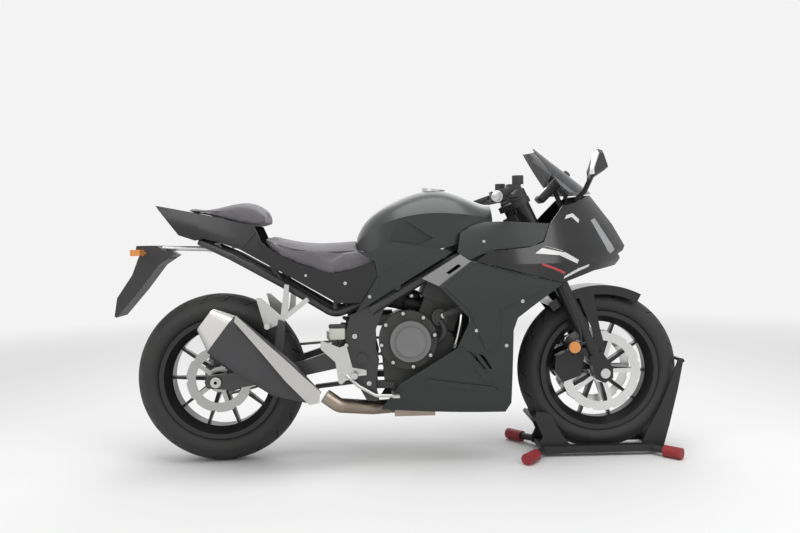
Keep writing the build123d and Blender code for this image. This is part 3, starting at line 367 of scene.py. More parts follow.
FINISHES: dict[str, Finish] = {finish.name: finish for finish in (
    Finish("frame_paint", (0.030, 0.030, 0.030), (0.018, 0.018, 0.019), 0.44, coat=0.15),
    Finish("arm_paint", (0.045, 0.045, 0.048), (0.030, 0.030, 0.032), 0.38, coat=0.25),
    Finish("bright_steel", (0.62, 0.61, 0.60), (0.45, 0.44, 0.43), 0.28, 1.0, relief=0.03),
    Finish("spring_paint", (0.060, 0.060, 0.064), (0.03, 0.03, 0.03), 0.35, 0.6),
    Finish("chain_steel", (0.26, 0.25, 0.23), (0.10, 0.09, 0.08), 0.42, 0.9, relief=0.1),
    Finish("case_casting", (0.048, 0.047, 0.045), (0.026, 0.026, 0.026), 0.50, 0.3,
           scale=1400.0, relief=0.25),
    Finish("cover_casting", (0.20, 0.20, 0.20), (0.13, 0.13, 0.13), 0.48, 0.4,
           scale=1400.0, relief=0.2),
    Finish("radiator_fins", (0.035, 0.035, 0.037), (0.02, 0.02, 0.02), 0.6, 0.4, scale=1600.0,
           relief=0.3),
    Finish("header_steel", (0.40, 0.35, 0.29), (0.22, 0.16, 0.12), 0.34, 1.0, mottle=0.9),
    Finish("heat_paint", (0.050, 0.050, 0.053), (0.030, 0.030, 0.032), 0.58, relief=0.12),
    Finish("brushed_silver", (0.58, 0.57, 0.55), (0.44, 0.43, 0.41), 0.34, 1.0,
           pattern=Pattern.BRUSHED, scale=700.0, relief=0.08),
    Finish("tank_paint", (0.021, 0.023, 0.023), (0.016, 0.018, 0.018), 0.34, 0.25, coat=0.30,
           coat_roughness=0.16, scale=2600.0, relief=0.02),
    Finish("seat_vinyl", (0.120, 0.112, 0.122), (0.085, 0.080, 0.088), 0.62, relief=0.5,
           relief_depth=0.0006, pattern=Pattern.LEATHER, scale=620.0, sheen=0.25),
    Finish("gloss_black", (0.0060, 0.0062, 0.0064), (0.004, 0.004, 0.0044), 0.20, coat=0.12,
           coat_roughness=0.05, relief=0.0, spread=0.03),
    Finish("matt_green_black", (0.020, 0.024, 0.023), (0.015, 0.018, 0.0175), 0.50, 0.08,
           coat=0.04, scale=2200.0, relief=0.06),
    Finish("red_lens", (0.32, 0.012, 0.016), (0.22, 0.01, 0.01), 0.12, coat=0.8, relief=0.0),
    Finish("amber_lens", (0.75, 0.28, 0.05), (0.6, 0.2, 0.03), 0.14, coat=0.8, relief=0.0),
    Finish("silver_alloy", (0.62, 0.62, 0.61), (0.48, 0.48, 0.47), 0.38, 0.9, relief=0.08),
    Finish("trim_silver", (0.30, 0.30, 0.30), (0.22, 0.22, 0.22), 0.36, 0.7, relief=0.03),
    Finish("smoke_screen", (0.055, 0.057, 0.062), (0.040, 0.042, 0.046), 0.04, coat=0.5, relief=0.0,
           alpha=0.72, spread=0.0),
    Finish("black_plastic", (0.030, 0.030, 0.031), (0.020, 0.020, 0.021), 0.55, relief=0.35,
           scale=1500.0),
    Finish("black_anodised", (0.040, 0.040, 0.042), (0.025, 0.025, 0.026), 0.36, 0.7),
    Finish("front_disc_steel", (0.70, 0.70, 0.69), (0.52, 0.52, 0.51), 0.26, 1.0,
           pattern=Pattern.TURNED, scale=1500.0, relief=0.08, centre=tuple(FRONT_AXLE)),
    Finish("rear_disc_steel", (0.44, 0.44, 0.43), (0.32, 0.32, 0.31), 0.28, 1.0,
           pattern=Pattern.TURNED, scale=1500.0, relief=0.08, centre=tuple(REAR_AXLE)),
    Finish("tyre_rubber", (0.016, 0.016, 0.016), (0.030, 0.029, 0.027), 0.66, relief=0.25,
           scale=1100.0, mottle=0.6),
    Finish("rim_black", (0.014, 0.014, 0.015), (0.010, 0.010, 0.011), 0.36, 0.2, coat=0.2),
    Finish("chock_coat", (0.012, 0.012, 0.012), (0.008, 0.008, 0.008), 0.52, relief=0.3,
           scale=1000.0),
    Finish("clear_lens", (0.30, 0.31, 0.32), (0.22, 0.23, 0.24), 0.10, coat=0.9, relief=0.0,
           spread=0.02),
    Finish("seam_thread", (0.050, 0.048, 0.052), (0.035, 0.034, 0.036), 0.60, relief=0.2),
    Finish("hose_rubber", (0.022, 0.022, 0.023), (0.034, 0.033, 0.032), 0.58, relief=0.15),
    Finish("grip_rubber", (0.024, 0.024, 0.025), (0.036, 0.035, 0.034), 0.72, relief=0.3),
    Finish("pale_plastic", (0.56, 0.56, 0.50), (0.48, 0.48, 0.42), 0.42, relief=0.08,
           mottle=0.4),
    Finish("mirror_silver", (0.80, 0.80, 0.80), (0.76, 0.76, 0.76), 0.03, 1.0, relief=0.0,
           spread=0.0),
    Finish("display_glass", (0.012, 0.013, 0.015), (0.018, 0.018, 0.020), 0.08, coat=0.8,
           relief=0.0),
    Finish("flash_white", (0.72, 0.72, 0.71), (0.64, 0.64, 0.63), 0.30, coat=0.6, relief=0.0),
    Finish("flash_red", (0.42, 0.025, 0.03), (0.34, 0.02, 0.022), 0.30, coat=0.6, relief=0.0),
    Finish("red_rubber", (0.30, 0.022, 0.026), (0.23, 0.015, 0.018), 0.55, relief=0.15),
)}

NODE_FINISHES: dict[str, str] = {
    "main_frame": "frame_paint", "subframe": "frame_paint", "swingarm": "arm_paint",
    "rear_axle": "bright_steel", "rear_shock": "spring_paint", "drive_chain": "chain_steel",
    "engine_case": "case_casting", "engine_top": "case_casting", "engine_covers": "cover_casting",
    "radiator": "radiator_fins", "header_pipes": "header_steel", "muffler": "heat_paint",
    "muffler_cap": "brushed_silver", "heat_shield": "brushed_silver", "fuel_tank": "tank_paint",
    "tank_cap": "silver_alloy", "rider_seat": "seat_vinyl", "pillion_seat": "seat_vinyl",
    "tail_cowl_right": "gloss_black", "tail_cowl_left": "gloss_black", "tail_light": "red_lens",
    "side_covers": "matt_green_black", "plate_arm": "silver_alloy", "rear_guard": "black_plastic",
    "rear_indicators": "amber_lens", "side_cowl_right": "matt_green_black",
    "side_cowl_left": "matt_green_black", "upper_cowls": "matt_green_black",
    "side_trims": "trim_silver", "nose_cowl": "gloss_black", "headlamps": "clear_lens",
    "windscreen": "smoke_screen",
    "dash": "black_plastic", "fairing_stay": "frame_paint", "tail_spine": "black_plastic",
    "mirrors": "black_plastic", "rider_rests": "silver_alloy", "pillion_rests": "silver_alloy",
    "rear_caliper": "black_anodised", "side_stand": "arm_paint", "fork_legs": "black_anodised",
    "fork_clamps": "case_casting", "front_axle": "bright_steel", "handlebars": "black_plastic",
    "front_guard": "gloss_black", "front_calipers": "black_anodised", "chock_frame": "chock_coat",
    "chock_caps": "red_rubber", "front_tyre": "tyre_rubber", "front_rim": "rim_black",
    "front_discs": "front_disc_steel", "rear_tyre": "tyre_rubber", "rear_rim": "rim_black",
    "rear_disc": "rear_disc_steel", "rear_sprocket": "chain_steel",
}


class FinishShop:
    """Makes each finish once and puts finishes on objects."""

    def __init__(self) -> None:
        """Start with no materials."""
        self.groups = SurfaceGroups()
        self.made: dict[str, bpy.types.Material] = {}

    def get(self, name: str) -> bpy.types.Material:
        """Give a finish's material.

        Args:
            name: The finish's name.

        Returns:
            The material.
        """
        if name not in self.made:
            self.made[name] = FINISHES[name].build(self.groups)
        return self.made[name]

    def dress(self, piece: bpy.types.Object, name: str) -> None:
        """Put one finish on an object's every slot.

        Args:
            piece: The object.
            name: The finish's name.
        """
        material = self.get(name)
        if not piece.material_slots:
            piece.data.materials.append(material)
        for slot in piece.material_slots:
            slot.material = material

    def dress_nodes(self, frame: dict) -> None:
        """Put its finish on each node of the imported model.
        """
        for name, piece in frame["nodes"].items():
            self.dress(piece, NODE_FINISHES[name])
            LOG.info("%s is finished in %s", name, NODE_FINISHES[name])


# ---------------------------------------------------------------- modelling
@dataclass(frozen=True)
class Place:
    """What a finished piece is called, rides on and is finished in."""

    name: str
    body: Body
    finish: str
    slot: str


class Bench:
    """Makes, joins and finishes pieces with Blender's own modelling tools."""

    def __init__(self, shop: FinishShop, frame: dict) -> None:
        """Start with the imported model.

        Args:
            shop: Where the finishes come from.
        """
        self.shop = shop
        self.nodes: dict[str, bpy.types.Object] = frame["nodes"]

    @staticmethod
    def pick(piece: bpy.types.Object) -> None:
        """Select one object and make it the active one."""
        bpy.ops.object.select_all(action="DESELECT")
        piece.select_set(True)
        bpy.context.view_layer.objects.active = piece

    def apply(self, piece: bpy.types.Object, kind: str, **settings: object) -> None:
        """Add a modifier and apply it.

        Args:
            piece: The object.
            kind: The modifier's kind.
            settings: Attributes to set on it.
        """
        self.pick(piece)
        modifier = piece.modifiers.new(kind.lower(), kind)
        for key, value in settings.items():
            setattr(modifier, key, value)
        bpy.ops.object.modifier_apply(modifier=modifier.name)

    def bake(self, piece: bpy.types.Object) -> None:
        """Apply an object's place, turn and size to its mesh."""
        self.pick(piece)
        bpy.ops.object.transform_apply(location=True, rotation=True, scale=True)

    def turn_to(self, piece: bpy.types.Object, direction: Vector) -> None:
        """Turn an object so that its own Z runs along a direction, and bake it."""
        piece.rotation_euler = direction.to_track_quat("Z", "Y").to_euler()
        self.bake(piece)

    def drum(self, centre: Vector, direction: Vector, radius: float, depth: float,
             sides: int = 32, bevel: float = 0.0) -> bpy.types.Object:
        """Make a round piece.

        Args:
            centre: Its middle.
            direction: Where its axis points.
            radius: Its radius.
            depth: Its length.
            sides: The number of its sides.
            bevel: The width of the bevel on its rims.

        Returns:
            The piece.
        """
        bpy.ops.object.select_all(action="DESELECT")
        bpy.ops.mesh.primitive_cylinder_add(vertices=sides, radius=radius, depth=depth,
                                            location=centre)
        piece = bpy.context.object
        self.turn_to(piece, direction)
        if bevel:
            self.apply(piece, "BEVEL", width=bevel, segments=2, limit_method="ANGLE")
        return piece

    def slab(self, centre: Vector, size: Vector, direction: Vector,
             bevel: float) -> bpy.types.Object:
        """Make a box with rounded edges.

        Args:
            centre: Its middle.
            size: Its size along its own axes.
            direction: Where its own Z points.
            bevel: The radius of its edges.

        Returns:
            The piece.
        """
        bpy.ops.object.select_all(action="DESELECT")
        bpy.ops.mesh.primitive_cube_add(size=1.0, location=centre)
        piece = bpy.context.object
        piece.scale = size
        self.turn_to(piece, direction)
        self.apply(piece, "BEVEL", width=bevel, segments=3, limit_method="ANGLE")
        return piece

    def tube(self, points: Sequence[Point], radius: float, sides: int = 12) -> bpy.types.Object:
        """Make a smooth tube along a line of control points.

        Args:
            points: The line's control points.
            radius: The tube's radius.
            sides: How many sides it has, four at least.

        Returns:
            The tube, as a mesh with closed ends.
        """
        data = bpy.data.curves.new("tube", "CURVE")
        data.dimensions = "3D"
        data.bevel_depth = radius
        data.bevel_resolution = max(sides // 4 - 1, 0)
        data.use_fill_caps = True
        line = data.splines.new("NURBS")
        line.points.add(len(points) - 1)
        for point, place in zip(line.points, points):
            point.co = (*place, 1.0)
        line.order_u = 3
        line.use_endpoint_u = True
        line.resolution_u = 8
        piece = bpy.data.objects.new("tube", data)
        bpy.context.scene.collection.objects.link(piece)
        self.pick(piece)
        bpy.ops.object.convert(target="MESH")
        return bpy.context.object

    def copies(self, model: bpy.types.Object, places: Iterable[Matrix]) -> list[bpy.types.Object]:
        """Copy a model to each place, with its own mesh, and drop the model.

        Args:
            model: The model, at the origin.
            places: Where each copy goes.

        Returns:
            The copies.
        """
        made = []
        for place in places:
            piece = bpy.data.objects.new(model.name, model.data.copy())
            bpy.context.scene.collection.objects.link(piece)
            piece.matrix_world = place
            made.append(piece)
        bpy.data.objects.remove(model)
        return made

    def finish(self, parts: Sequence[bpy.types.Object], place: Place,
               replaced: Sequence[str] = (), angle: float = 35.0) -> bpy.types.Object:
        """Join parts into one piece, smooth it, finish it and make it ride.

        Args:
            parts: The parts.
            place: What the piece is called, rides on and is finished in.
            replaced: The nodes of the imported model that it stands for.
            angle: Edges sharper than this stay sharp, in degrees.

        Returns:
            The piece.
        """
        bpy.ops.object.select_all(action="DESELECT")
        for part in parts:
            part.select_set(True)
        bpy.context.view_layer.objects.active = parts[0]
        if len(parts) > 1:
            bpy.ops.object.join()
        piece = bpy.context.view_layer.objects.active
        self.bake(piece)
        bpy.ops.object.shade_smooth_by_angle(angle=math.radians(angle))
        piece.name = place.name
        piece.data.name = place.name
        piece.data.materials.clear()
        self.shop.dress(piece, place.finish)
        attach(piece, place.body.value)
        if replaced:
            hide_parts(*replaced)
        LOG.info("%s has %d faces", place.name, len(piece.data.polygons))
        return piece

    def copy_of(self, node: str) -> bpy.types.Object:
        """Copy a node's mesh as a new object, with its loose triangles merged.

        Args:
            node: The node's name.

        Returns:
            The copy.
        """
        source = self.nodes[node]
        piece = bpy.data.objects.new(f"{node}_copy", source.data.copy())
        bpy.context.scene.collection.objects.link(piece)
        piece.matrix_world = source.matrix_world
        self.bake(piece)
        bpy.ops.object.mode_set(mode="EDIT")
        bpy.ops.mesh.select_all(action="SELECT")
        bpy.ops.mesh.remove_doubles(threshold=0.00002)
        bpy.ops.mesh.normals_make_consistent(inside=False)
        bpy.ops.object.mode_set(mode="OBJECT")
        return piece

    def touch(self, node: str, start: Point, direction: Point) -> tuple[Vector, Vector]:
        """Find where a ray meets a node.

        Args:
            node: The node's name.
            start: Where the ray starts.
            direction: Where it runs.

        Returns:
            The point, and the surface's normal there.

        Raises:
            ValueError: If the ray meets nothing.
        """
        piece = self.nodes[node]
        inverse = piece.matrix_world.inverted()
        ray = (inverse.to_3x3() @ Vector(direction)).normalized()
        found, place, normal, _ = piece.ray_cast(inverse @ Vector(start), ray)
        if not found:
            raise ValueError(f"no surface of {node} at {start}")
        return piece.matrix_world @ place, (piece.matrix_world.to_3x3() @ normal).normalized()


def on_bike(x: float, y: float, z: float) -> Vector:
    """Turn millimetres from the rear axle's station into the model's metres.

    Args:
        x: Millimetres ahead of the rear axle.
        y: Millimetres to the left.
        z: Millimetres above the floor.

    Returns:
        The point.
    """
    return Vector((x / 1000.0 - MIDDLE_X, y / 1000.0, z / 1000.0))


# ---------------------------------------------------------------- seats
@dataclass(frozen=True)
class Cushion:
    """A padded seat: the node it stands for and its seam."""

    node: str
    voxel: float
    shrink: float
    cap: float
    seam: tuple[Point, ...]


CUSHIONS = (
    Cushion("rider_seat", 0.006, 0.002, 0.006,
            ((178, 96, 830), (232, 118, 806), (310, 137, 784), (410, 134, 774), (506, 106, 776))),
    Cushion("pillion_seat", 0.006, 0.002, 0.005,
            ((-103, 58, 938), (20, 89, 928), (150, 105, 928), (188, 104, 904))),
)


@dataclass
class Upholsterer:
    """Turns the plain seats into padded, covered ones."""

    bench: Bench
    pressure: float = 4.0
    frames: int = 20
    piping_radius: float = 0.0016
    piping_lift: float = 0.0004

    def swell(self, piece: bpy.types.Object, cushion: Cushion) -> None:
        """Blow the padding up like a real cushion, without letting it grow too far.

        Args:
            piece: The remeshed seat.
            cushion: Its sizes.
        """
        scene = bpy.context.scene
        before = [vertex.co.copy() for vertex in piece.data.vertices]
        cloth = piece.modifiers.new("cloth", "CLOTH")
        cloth.settings.use_pressure = True
        cloth.settings.uniform_pressure_force = self.pressure
        cloth.settings.effector_weights.gravity = 0.0
        for frame in range(1, self.frames + 1):
            scene.frame_set(frame)
        self.bench.pick(piece)
        bpy.ops.object.modifier_apply(modifier=cloth.name)
        scene.frame_set(1)
        for vertex, start in zip(piece.data.vertices, before):
            move = vertex.co - start
            if move.length > cushion.cap:
                vertex.co = start + move.normalized() * cushion.cap

    def cover(self, cushion: Cushion) -> bpy.types.Object:
        """Make one padded seat.

        Args:
            cushion: Its sizes.

        Returns:
            The seat.
        """
        piece = self.bench.copy_of(cushion.node)
        self.bench.apply(piece, "REMESH", mode="VOXEL", voxel_size=cushion.voxel)
        self.bench.apply(piece, "SMOOTH", factor=0.5, iterations=3)
        self.bench.apply(piece, "DISPLACE", strength=-cushion.shrink, mid_level=0.0)
        self.swell(piece, cushion)
        self.bench.apply(piece, "SMOOTH", factor=0.5, iterations=2)
        self.bench.apply(piece, "SUBSURF", levels=1, render_levels=1)
        return piece

    def seam(self, seat: bpy.types.Object, cushion: Cushion, side: int) -> bpy.types.Object:
        """Lay a seam's piping along one side of a seat.

        Args:
            seat: The covered seat.
            cushion: Its sizes.
            side: 1 for the left side, -1 for the right.

        Returns:
            The piping.
        """
        line = []
        for x, y, z in cushion.seam:
            wanted = on_bike(x, side * y, z)
            found, place, normal, _ = seat.closest_point_on_mesh(wanted)
            line.append(tuple(place + normal * self.piping_lift) if found else tuple(wanted))
        return self.bench.tube(line, self.piping_radius, 8)

    def work(self) -> None:
        """Cover every seat."""
        for cushion in CUSHIONS:
            seat = self.cover(cushion)
            piping = [self.seam(seat, cushion, side) for side in (-1, 1)]
            cover = Place(f"{cushion.node}_cover", Body.CHASSIS, "seat_vinyl", "seat_vinyl")
            made = self.bench.finish([seat], cover, (cushion.node,), 80.0)
            edge = Place(f"{cushion.node}_piping", Body.CHASSIS, "seam_thread", "seat_vinyl")
            self.bench.finish(piping, edge, (), 60.0)


# ---------------------------------------------------------------- wheels and chain
@dataclass(frozen=True)
class Tread:
    """Where a tyre's grooves lie."""

    tyre: str
    body: Body
    axle: Vector
    radius: float
    width: float
    shoulder: float
    grooves: int


TREADS = (
    Tread("front_tyre", Body.FRONT_WHEEL, FRONT_AXLE, 0.300, 0.120, 0.2532, 24),
    Tread("rear_tyre", Body.REAR_WHEEL, REAR_AXLE, 0.312, 0.160, 0.2580, 22),
)
GROOVE_ROWS = (            # place across the tread as a share of the width, length, width, lean
    (0.15, 0.058, 0.0055, 24.0),
    (0.32, 0.044, 0.0045, 48.0),
)


@dataclass
class WheelWright:
    """Cuts the tyres' treads and links the chain."""

    bench: Bench
    groove_depth: float = 0.010
    groove_bevel: float = 0.0015
    rear_sprocket: float = 0.084
    front_sprocket: float = 0.032
    chain_y: float = 95.0
    links: int = 98
    plate_radius: float = 0.0045
    plate_thick: float = 0.0014
    roller_radius: float = 0.0042
    plate_gaps: tuple[float, float] = (0.0030, 0.0048)

    @staticmethod
    def groove_place(tread: Tread, across: float, lean: float, turn: float, side: int) -> Matrix:
        """Work out where one groove is cut.

        Args:
            tread: The tyre.
            across: Its place across the tread, as a share of the width.
            lean: How far it leans from the running direction, in degrees.
            turn: Its angle round the wheel.
            side: 1 or -1.

        Returns:
            The cutter's place.
        """
        drop, half = tread.radius - tread.shoulder, tread.width / 2
        bow = (half * half + drop * drop) / (2 * drop)
        y = across * tread.width
        tilt = math.asin(y / bow)
        reach = tread.radius - bow + math.sqrt(bow * bow - y * y)
        out = Vector((math.cos(turn), 0.0, math.sin(turn)))
        ahead = Vector((-math.sin(turn), 0.0, math.cos(turn)))
        sideways = Vector((0.0, side, 0.0))
        normal = out * math.cos(tilt) + sideways * math.sin(tilt)
        level = sideways * math.cos(tilt) - out * math.sin(tilt)
        run = ahead * math.cos(math.radians(lean)) + level * math.sin(math.radians(lean))
        place = Matrix((run, normal.cross(run), normal)).transposed().to_4x4()
        place.translation = tread.axle + out * reach + sideways * y
        return place

    def cut_tread(self, tread: Tread) -> None:
        """Replace a plain tyre with one that has its tread.

        Args:
            tread: The tyre.
        """
        tyre = self.bench.copy_of(tread.tyre)
        cutters = []
        for row, (across, length, width, lean) in enumerate(GROOVE_ROWS):
            cutter = self.bench.slab(Vector(), Vector((length, width, self.groove_depth)),
                                     Vector((0, 0, 1)), self.groove_bevel)
            places = []
            for index in range(tread.grooves):
                for side in (-1, 1):
                    turn = (index + 0.25 * side + 0.4 * row) * math.tau / tread.grooves
                    places.append(self.groove_place(tread, across, lean, turn, side))
            cutters += self.bench.copies(cutter, places)
        bpy.ops.object.select_all(action="DESELECT")
        for cutter in cutters:
            cutter.select_set(True)
        bpy.context.view_layer.objects.active = cutters[0]
        bpy.ops.object.join()
        tool = bpy.context.view_layer.objects.active
        # The cutters of neighbouring grooves can cross each other, hence use_self.
        self.bench.apply(tyre, "BOOLEAN", object=tool, operation="DIFFERENCE", solver="EXACT",
                         use_self=True)
        bpy.data.objects.remove(tool)
        place = Place(f"{tread.tyre}_tread", tread.body, "tyre_rubber", "tyre_rubber")
        self.bench.finish([tyre], place, (tread.tyre,), 32.0)

    def chain_path(self, count: int) -> list[Vector]:
        """Share points out along the chain's run round both sprockets.

        Args:
            count: How many points.

        Returns:
            The points, from the middle of the chain.
        """
        big, small = self.rear_sprocket, self.front_sprocket
        front = on_bike(585, self.chain_y, 402)
        rear = on_bike(0, self.chain_y, 312)
        span = front - rear
        lean = math.atan2(span.z, span.x)
        tilt = math.acos((big - small) / span.length)
        straight = math.sqrt(span.length_squared - (big - small) ** 2)
        wrap_big, wrap_small = math.tau - 2 * tilt, 2 * tilt
        total = 2 * straight + big * wrap_big + small * wrap_small
        points = []
        for index in range(count):
            at = total * index / count
            if at < straight:
                turn = lean + tilt
                start = rear + Vector((math.cos(turn), 0, math.sin(turn))) * big
                end = front + Vector((math.cos(turn), 0, math.sin(turn))) * small
                points.append(start.lerp(end, at / straight))
                continue
            at -= straight
            if at < small * wrap_small:
                turn = lean + tilt - at / small
                points.append(front + Vector((math.cos(turn), 0, math.sin(turn))) * small)
                continue
            at -= small * wrap_small
            if at < straight:
                turn = lean - tilt
                start = front + Vector((math.cos(turn), 0, math.sin(turn))) * small
                end = rear + Vector((math.cos(turn), 0, math.sin(turn))) * big
                points.append(start.lerp(end, at / straight))
                continue
            at -= straight
            turn = lean - tilt - at / big
            points.append(rear + Vector((math.cos(turn), 0, math.sin(turn))) * big)
        return points

    def link_model(self, gap: float, pitch: float) -> bpy.types.Object:
        """Make one link: two plates and a roller.

        Args:
            gap: The plates' distance from the chain's middle.
            pitch: The distance between its pins.

        Returns:
            The link, along X.
        """
        parts = []
        for side in (-1, 1):
            ends = [self.bench.drum(Vector((x, side * gap, 0)), Vector((0, 1, 0)),
                                    self.plate_radius, self.plate_thick, 10)
                    for x in (0.0, pitch)]
            bpy.ops.object.select_all(action="DESELECT")
            for end in ends:
                end.select_set(True)
            bpy.context.view_layer.objects.active = ends[0]
            bpy.ops.object.join()
            bpy.ops.object.mode_set(mode="EDIT")
            bpy.ops.mesh.select_all(action="SELECT")
            bpy.ops.mesh.convex_hull()
            bpy.ops.object.mode_set(mode="OBJECT")
            parts.append(bpy.context.view_layer.objects.active)
        parts.append(self.bench.drum(Vector(), Vector((0, 1, 0)), self.roller_radius, gap * 2, 10))
        bpy.ops.object.select_all(action="DESELECT")
        for part in parts:
            part.select_set(True)
        bpy.context.view_layer.objects.active = parts[0]
        bpy.ops.object.join()
        link = bpy.context.view_layer.objects.active
        self.bench.bake(link)
        return link

    def link_chain(self) -> None:
        """Replace the plain band with a chain of links."""
        points = self.chain_path(self.links)
        pitch = (points[1] - points[0]).length
        models = [self.link_model(gap, pitch) for gap in self.plate_gaps]
        places: tuple[list[Matrix], list[Matrix]] = ([], [])
        for index, point in enumerate(points):
            run = (points[(index + 1) % len(points)] - point).normalized()
            side = Vector((0, 1, 0))
            place = Matrix((run, side, run.cross(side))).transposed().to_4x4()
            place.translation = point
            places[index % 2].append(place)
        links = [link for model, spots in zip(models, places)
                 for link in self.bench.copies(model, spots)]
        place = Place("chain_links", Body.CHASSIS, "chain_steel", "chain_steel")
        self.bench.finish(links, place, ("drive_chain",), 40.0)

    def work(self) -> None:
        """Finish both tyres and the chain."""
        for tread in TREADS:
            self.cut_tread(tread)
        self.link_chain()


# ---------------------------------------------------------------- small parts
UP = Vector((0, 0, 1))
BOLT_SPOTS = (             # node, x, z, head radius in mm; one on each side
    ("side_cowl", 928, 490, 6.5), ("side_cowl", 1034, 434, 6.5), ("side_cowl", 1090, 590, 6.5),
    ("side_covers", 556, 612, 6.0), ("tail_cowl", 470, 660, 6.0), ("tail_cowl", 330, 690, 5.0),
    ("upper_cowls", 960, 800, 5.0), ("rider_rests", 470, 440, 7.0), ("rider_rests", 452, 330, 6.0),
    ("main_frame", 500, 470, 9.0), ("main_frame", 548, 300, 9.0),
)
SIDED_NODES = ("side_cowl", "tail_cowl")


def on_line(points: Iterable[Point], side: int = 1) -> list[Point]:
    """Turn a line given in millimetres into the model's metres.

    Args:
        points: The line's points.
        side: 1, or -1 for the line's mirror image.

    Returns:
        The points, as tube takes them.
    """
    return [tuple(on_bike(x, side * y, z)) for x, y, z in points]


@dataclass
class ThrottleBay:
    """The air box's throat and the throttle bodies between the two spars."""

    bench: Bench
    box_size: Point = (0.104, 0.176, 0.078)
    neck_radius: float = 0.026
    neck_spread: float = 46.0
    rail_radius: float = 0.007

    def work(self) -> None:
        """Fit the box, its two necks and the fuel rail."""
        box = self.bench.slab(on_bike(652, 0, 596), Vector(self.box_size), Vector((0.2, 0, 1)),
                              0.014)
        necks = [self.bench.drum(on_bike(716, y, 574), Vector((1, 0, -0.25)), self.neck_radius,
                                 0.070, 32, 0.003)
                 for y in (-self.neck_spread, self.neck_spread)]
        rail = self.bench.drum(on_bike(708, 0, 606), Vector((0, 1, 0)), self.rail_radius, 0.170, 20,
                               0.001)
        self.bench.finish([box, *necks], Place("intake_box", Body.CHASSIS, "black_plastic",
                                               "black_plastic"))
        self.bench.finish([rail], Place("fuel_rail", Body.CHASSIS, "silver_alloy", "silver_alloy"))


@dataclass
class Fasteners:
    """The bolts of the body panels and of the clutch cover."""

    bench: Bench
    panel_lift: float = 0.0008
    cover_x: float = 690.0
    cover_y: float = -176.5
    cover_z: float = 455.0
    cover_ring: float = 96.0
    cover_bolts: int = 8
    cover_start: float = 10.0
    cover_head: float = 0.0062

    def bolt_model(self, radius: float) -> bpy.types.Object:
        """Make a socket-headed bolt.

        Args:
            radius: The radius of its head.

        Returns:
            The bolt, at the origin, with its head towards Z.
        """
        bolt = self.bench.drum(Vector(), UP, radius, radius * 0.9, 18, radius * 0.12)
        top = max(bolt.data.polygons, key=lambda face: face.center.z)
        for face in bolt.data.polygons:
            face.select = False
        top.select = True
        bpy.ops.object.mode_set(mode="EDIT")
        bpy.ops.mesh.select_mode(type="FACE")
        bpy.ops.mesh.inset(thickness=radius * 0.34)
        bpy.ops.mesh.extrude_region_move(
            TRANSFORM_OT_translate={"value": (0, 0, -radius * 0.5)})
        bpy.ops.object.mode_set(mode="OBJECT")
        return bolt

    def fit(self, spot: Vector, normal: Vector, head: float) -> list[bpy.types.Object]:
        """Put one bolt in.

        Args:
            spot: The middle of its head.
            normal: Where its head faces.
            head: The radius of its head.

        Returns:
            The bolt, in a list.
        """
        place = normal.to_track_quat("Z", "Y").to_matrix().to_4x4()
        place.translation = spot
        return self.bench.copies(self.bolt_model(head), [place])

    def panel_bolts(self) -> list[bpy.types.Object]:
        """Fit a bolt on each side at every spot of the panels.

        Returns:
            The bolts.
        """
        made = []
        for node, x, z, head in BOLT_SPOTS:
            for side in (-1, 1):
                name = f"{node}_{'right' if side < 0 else 'left'}" if node in SIDED_NODES else node
                try:
                    spot, normal = self.bench.touch(name, on_bike(x, side * 600, z), (0, -side, 0))
                except ValueError as problem:
                    LOG.warning("%s", problem)
                    continue
                made += self.fit(spot + normal * self.panel_lift, normal, head / 1000.0)
        return made

    def work(self) -> None:
        """Fit the bolts of the panels, then the ring of bolts on the clutch cover."""
        parts = self.panel_bolts()
        for index in range(self.cover_bolts):
            turn = math.radians(index * 360 / self.cover_bolts + self.cover_start)
            spot = on_bike(self.cover_x + self.cover_ring * math.cos(turn), self.cover_y,
                           self.cover_z + self.cover_ring * math.sin(turn))
            parts += self.fit(spot, Vector((0, -1, 0)), self.cover_head)
        place = Place("panel_bolts", Body.CHASSIS, "bright_steel", "axle_steel")
        self.bench.finish(parts, place)


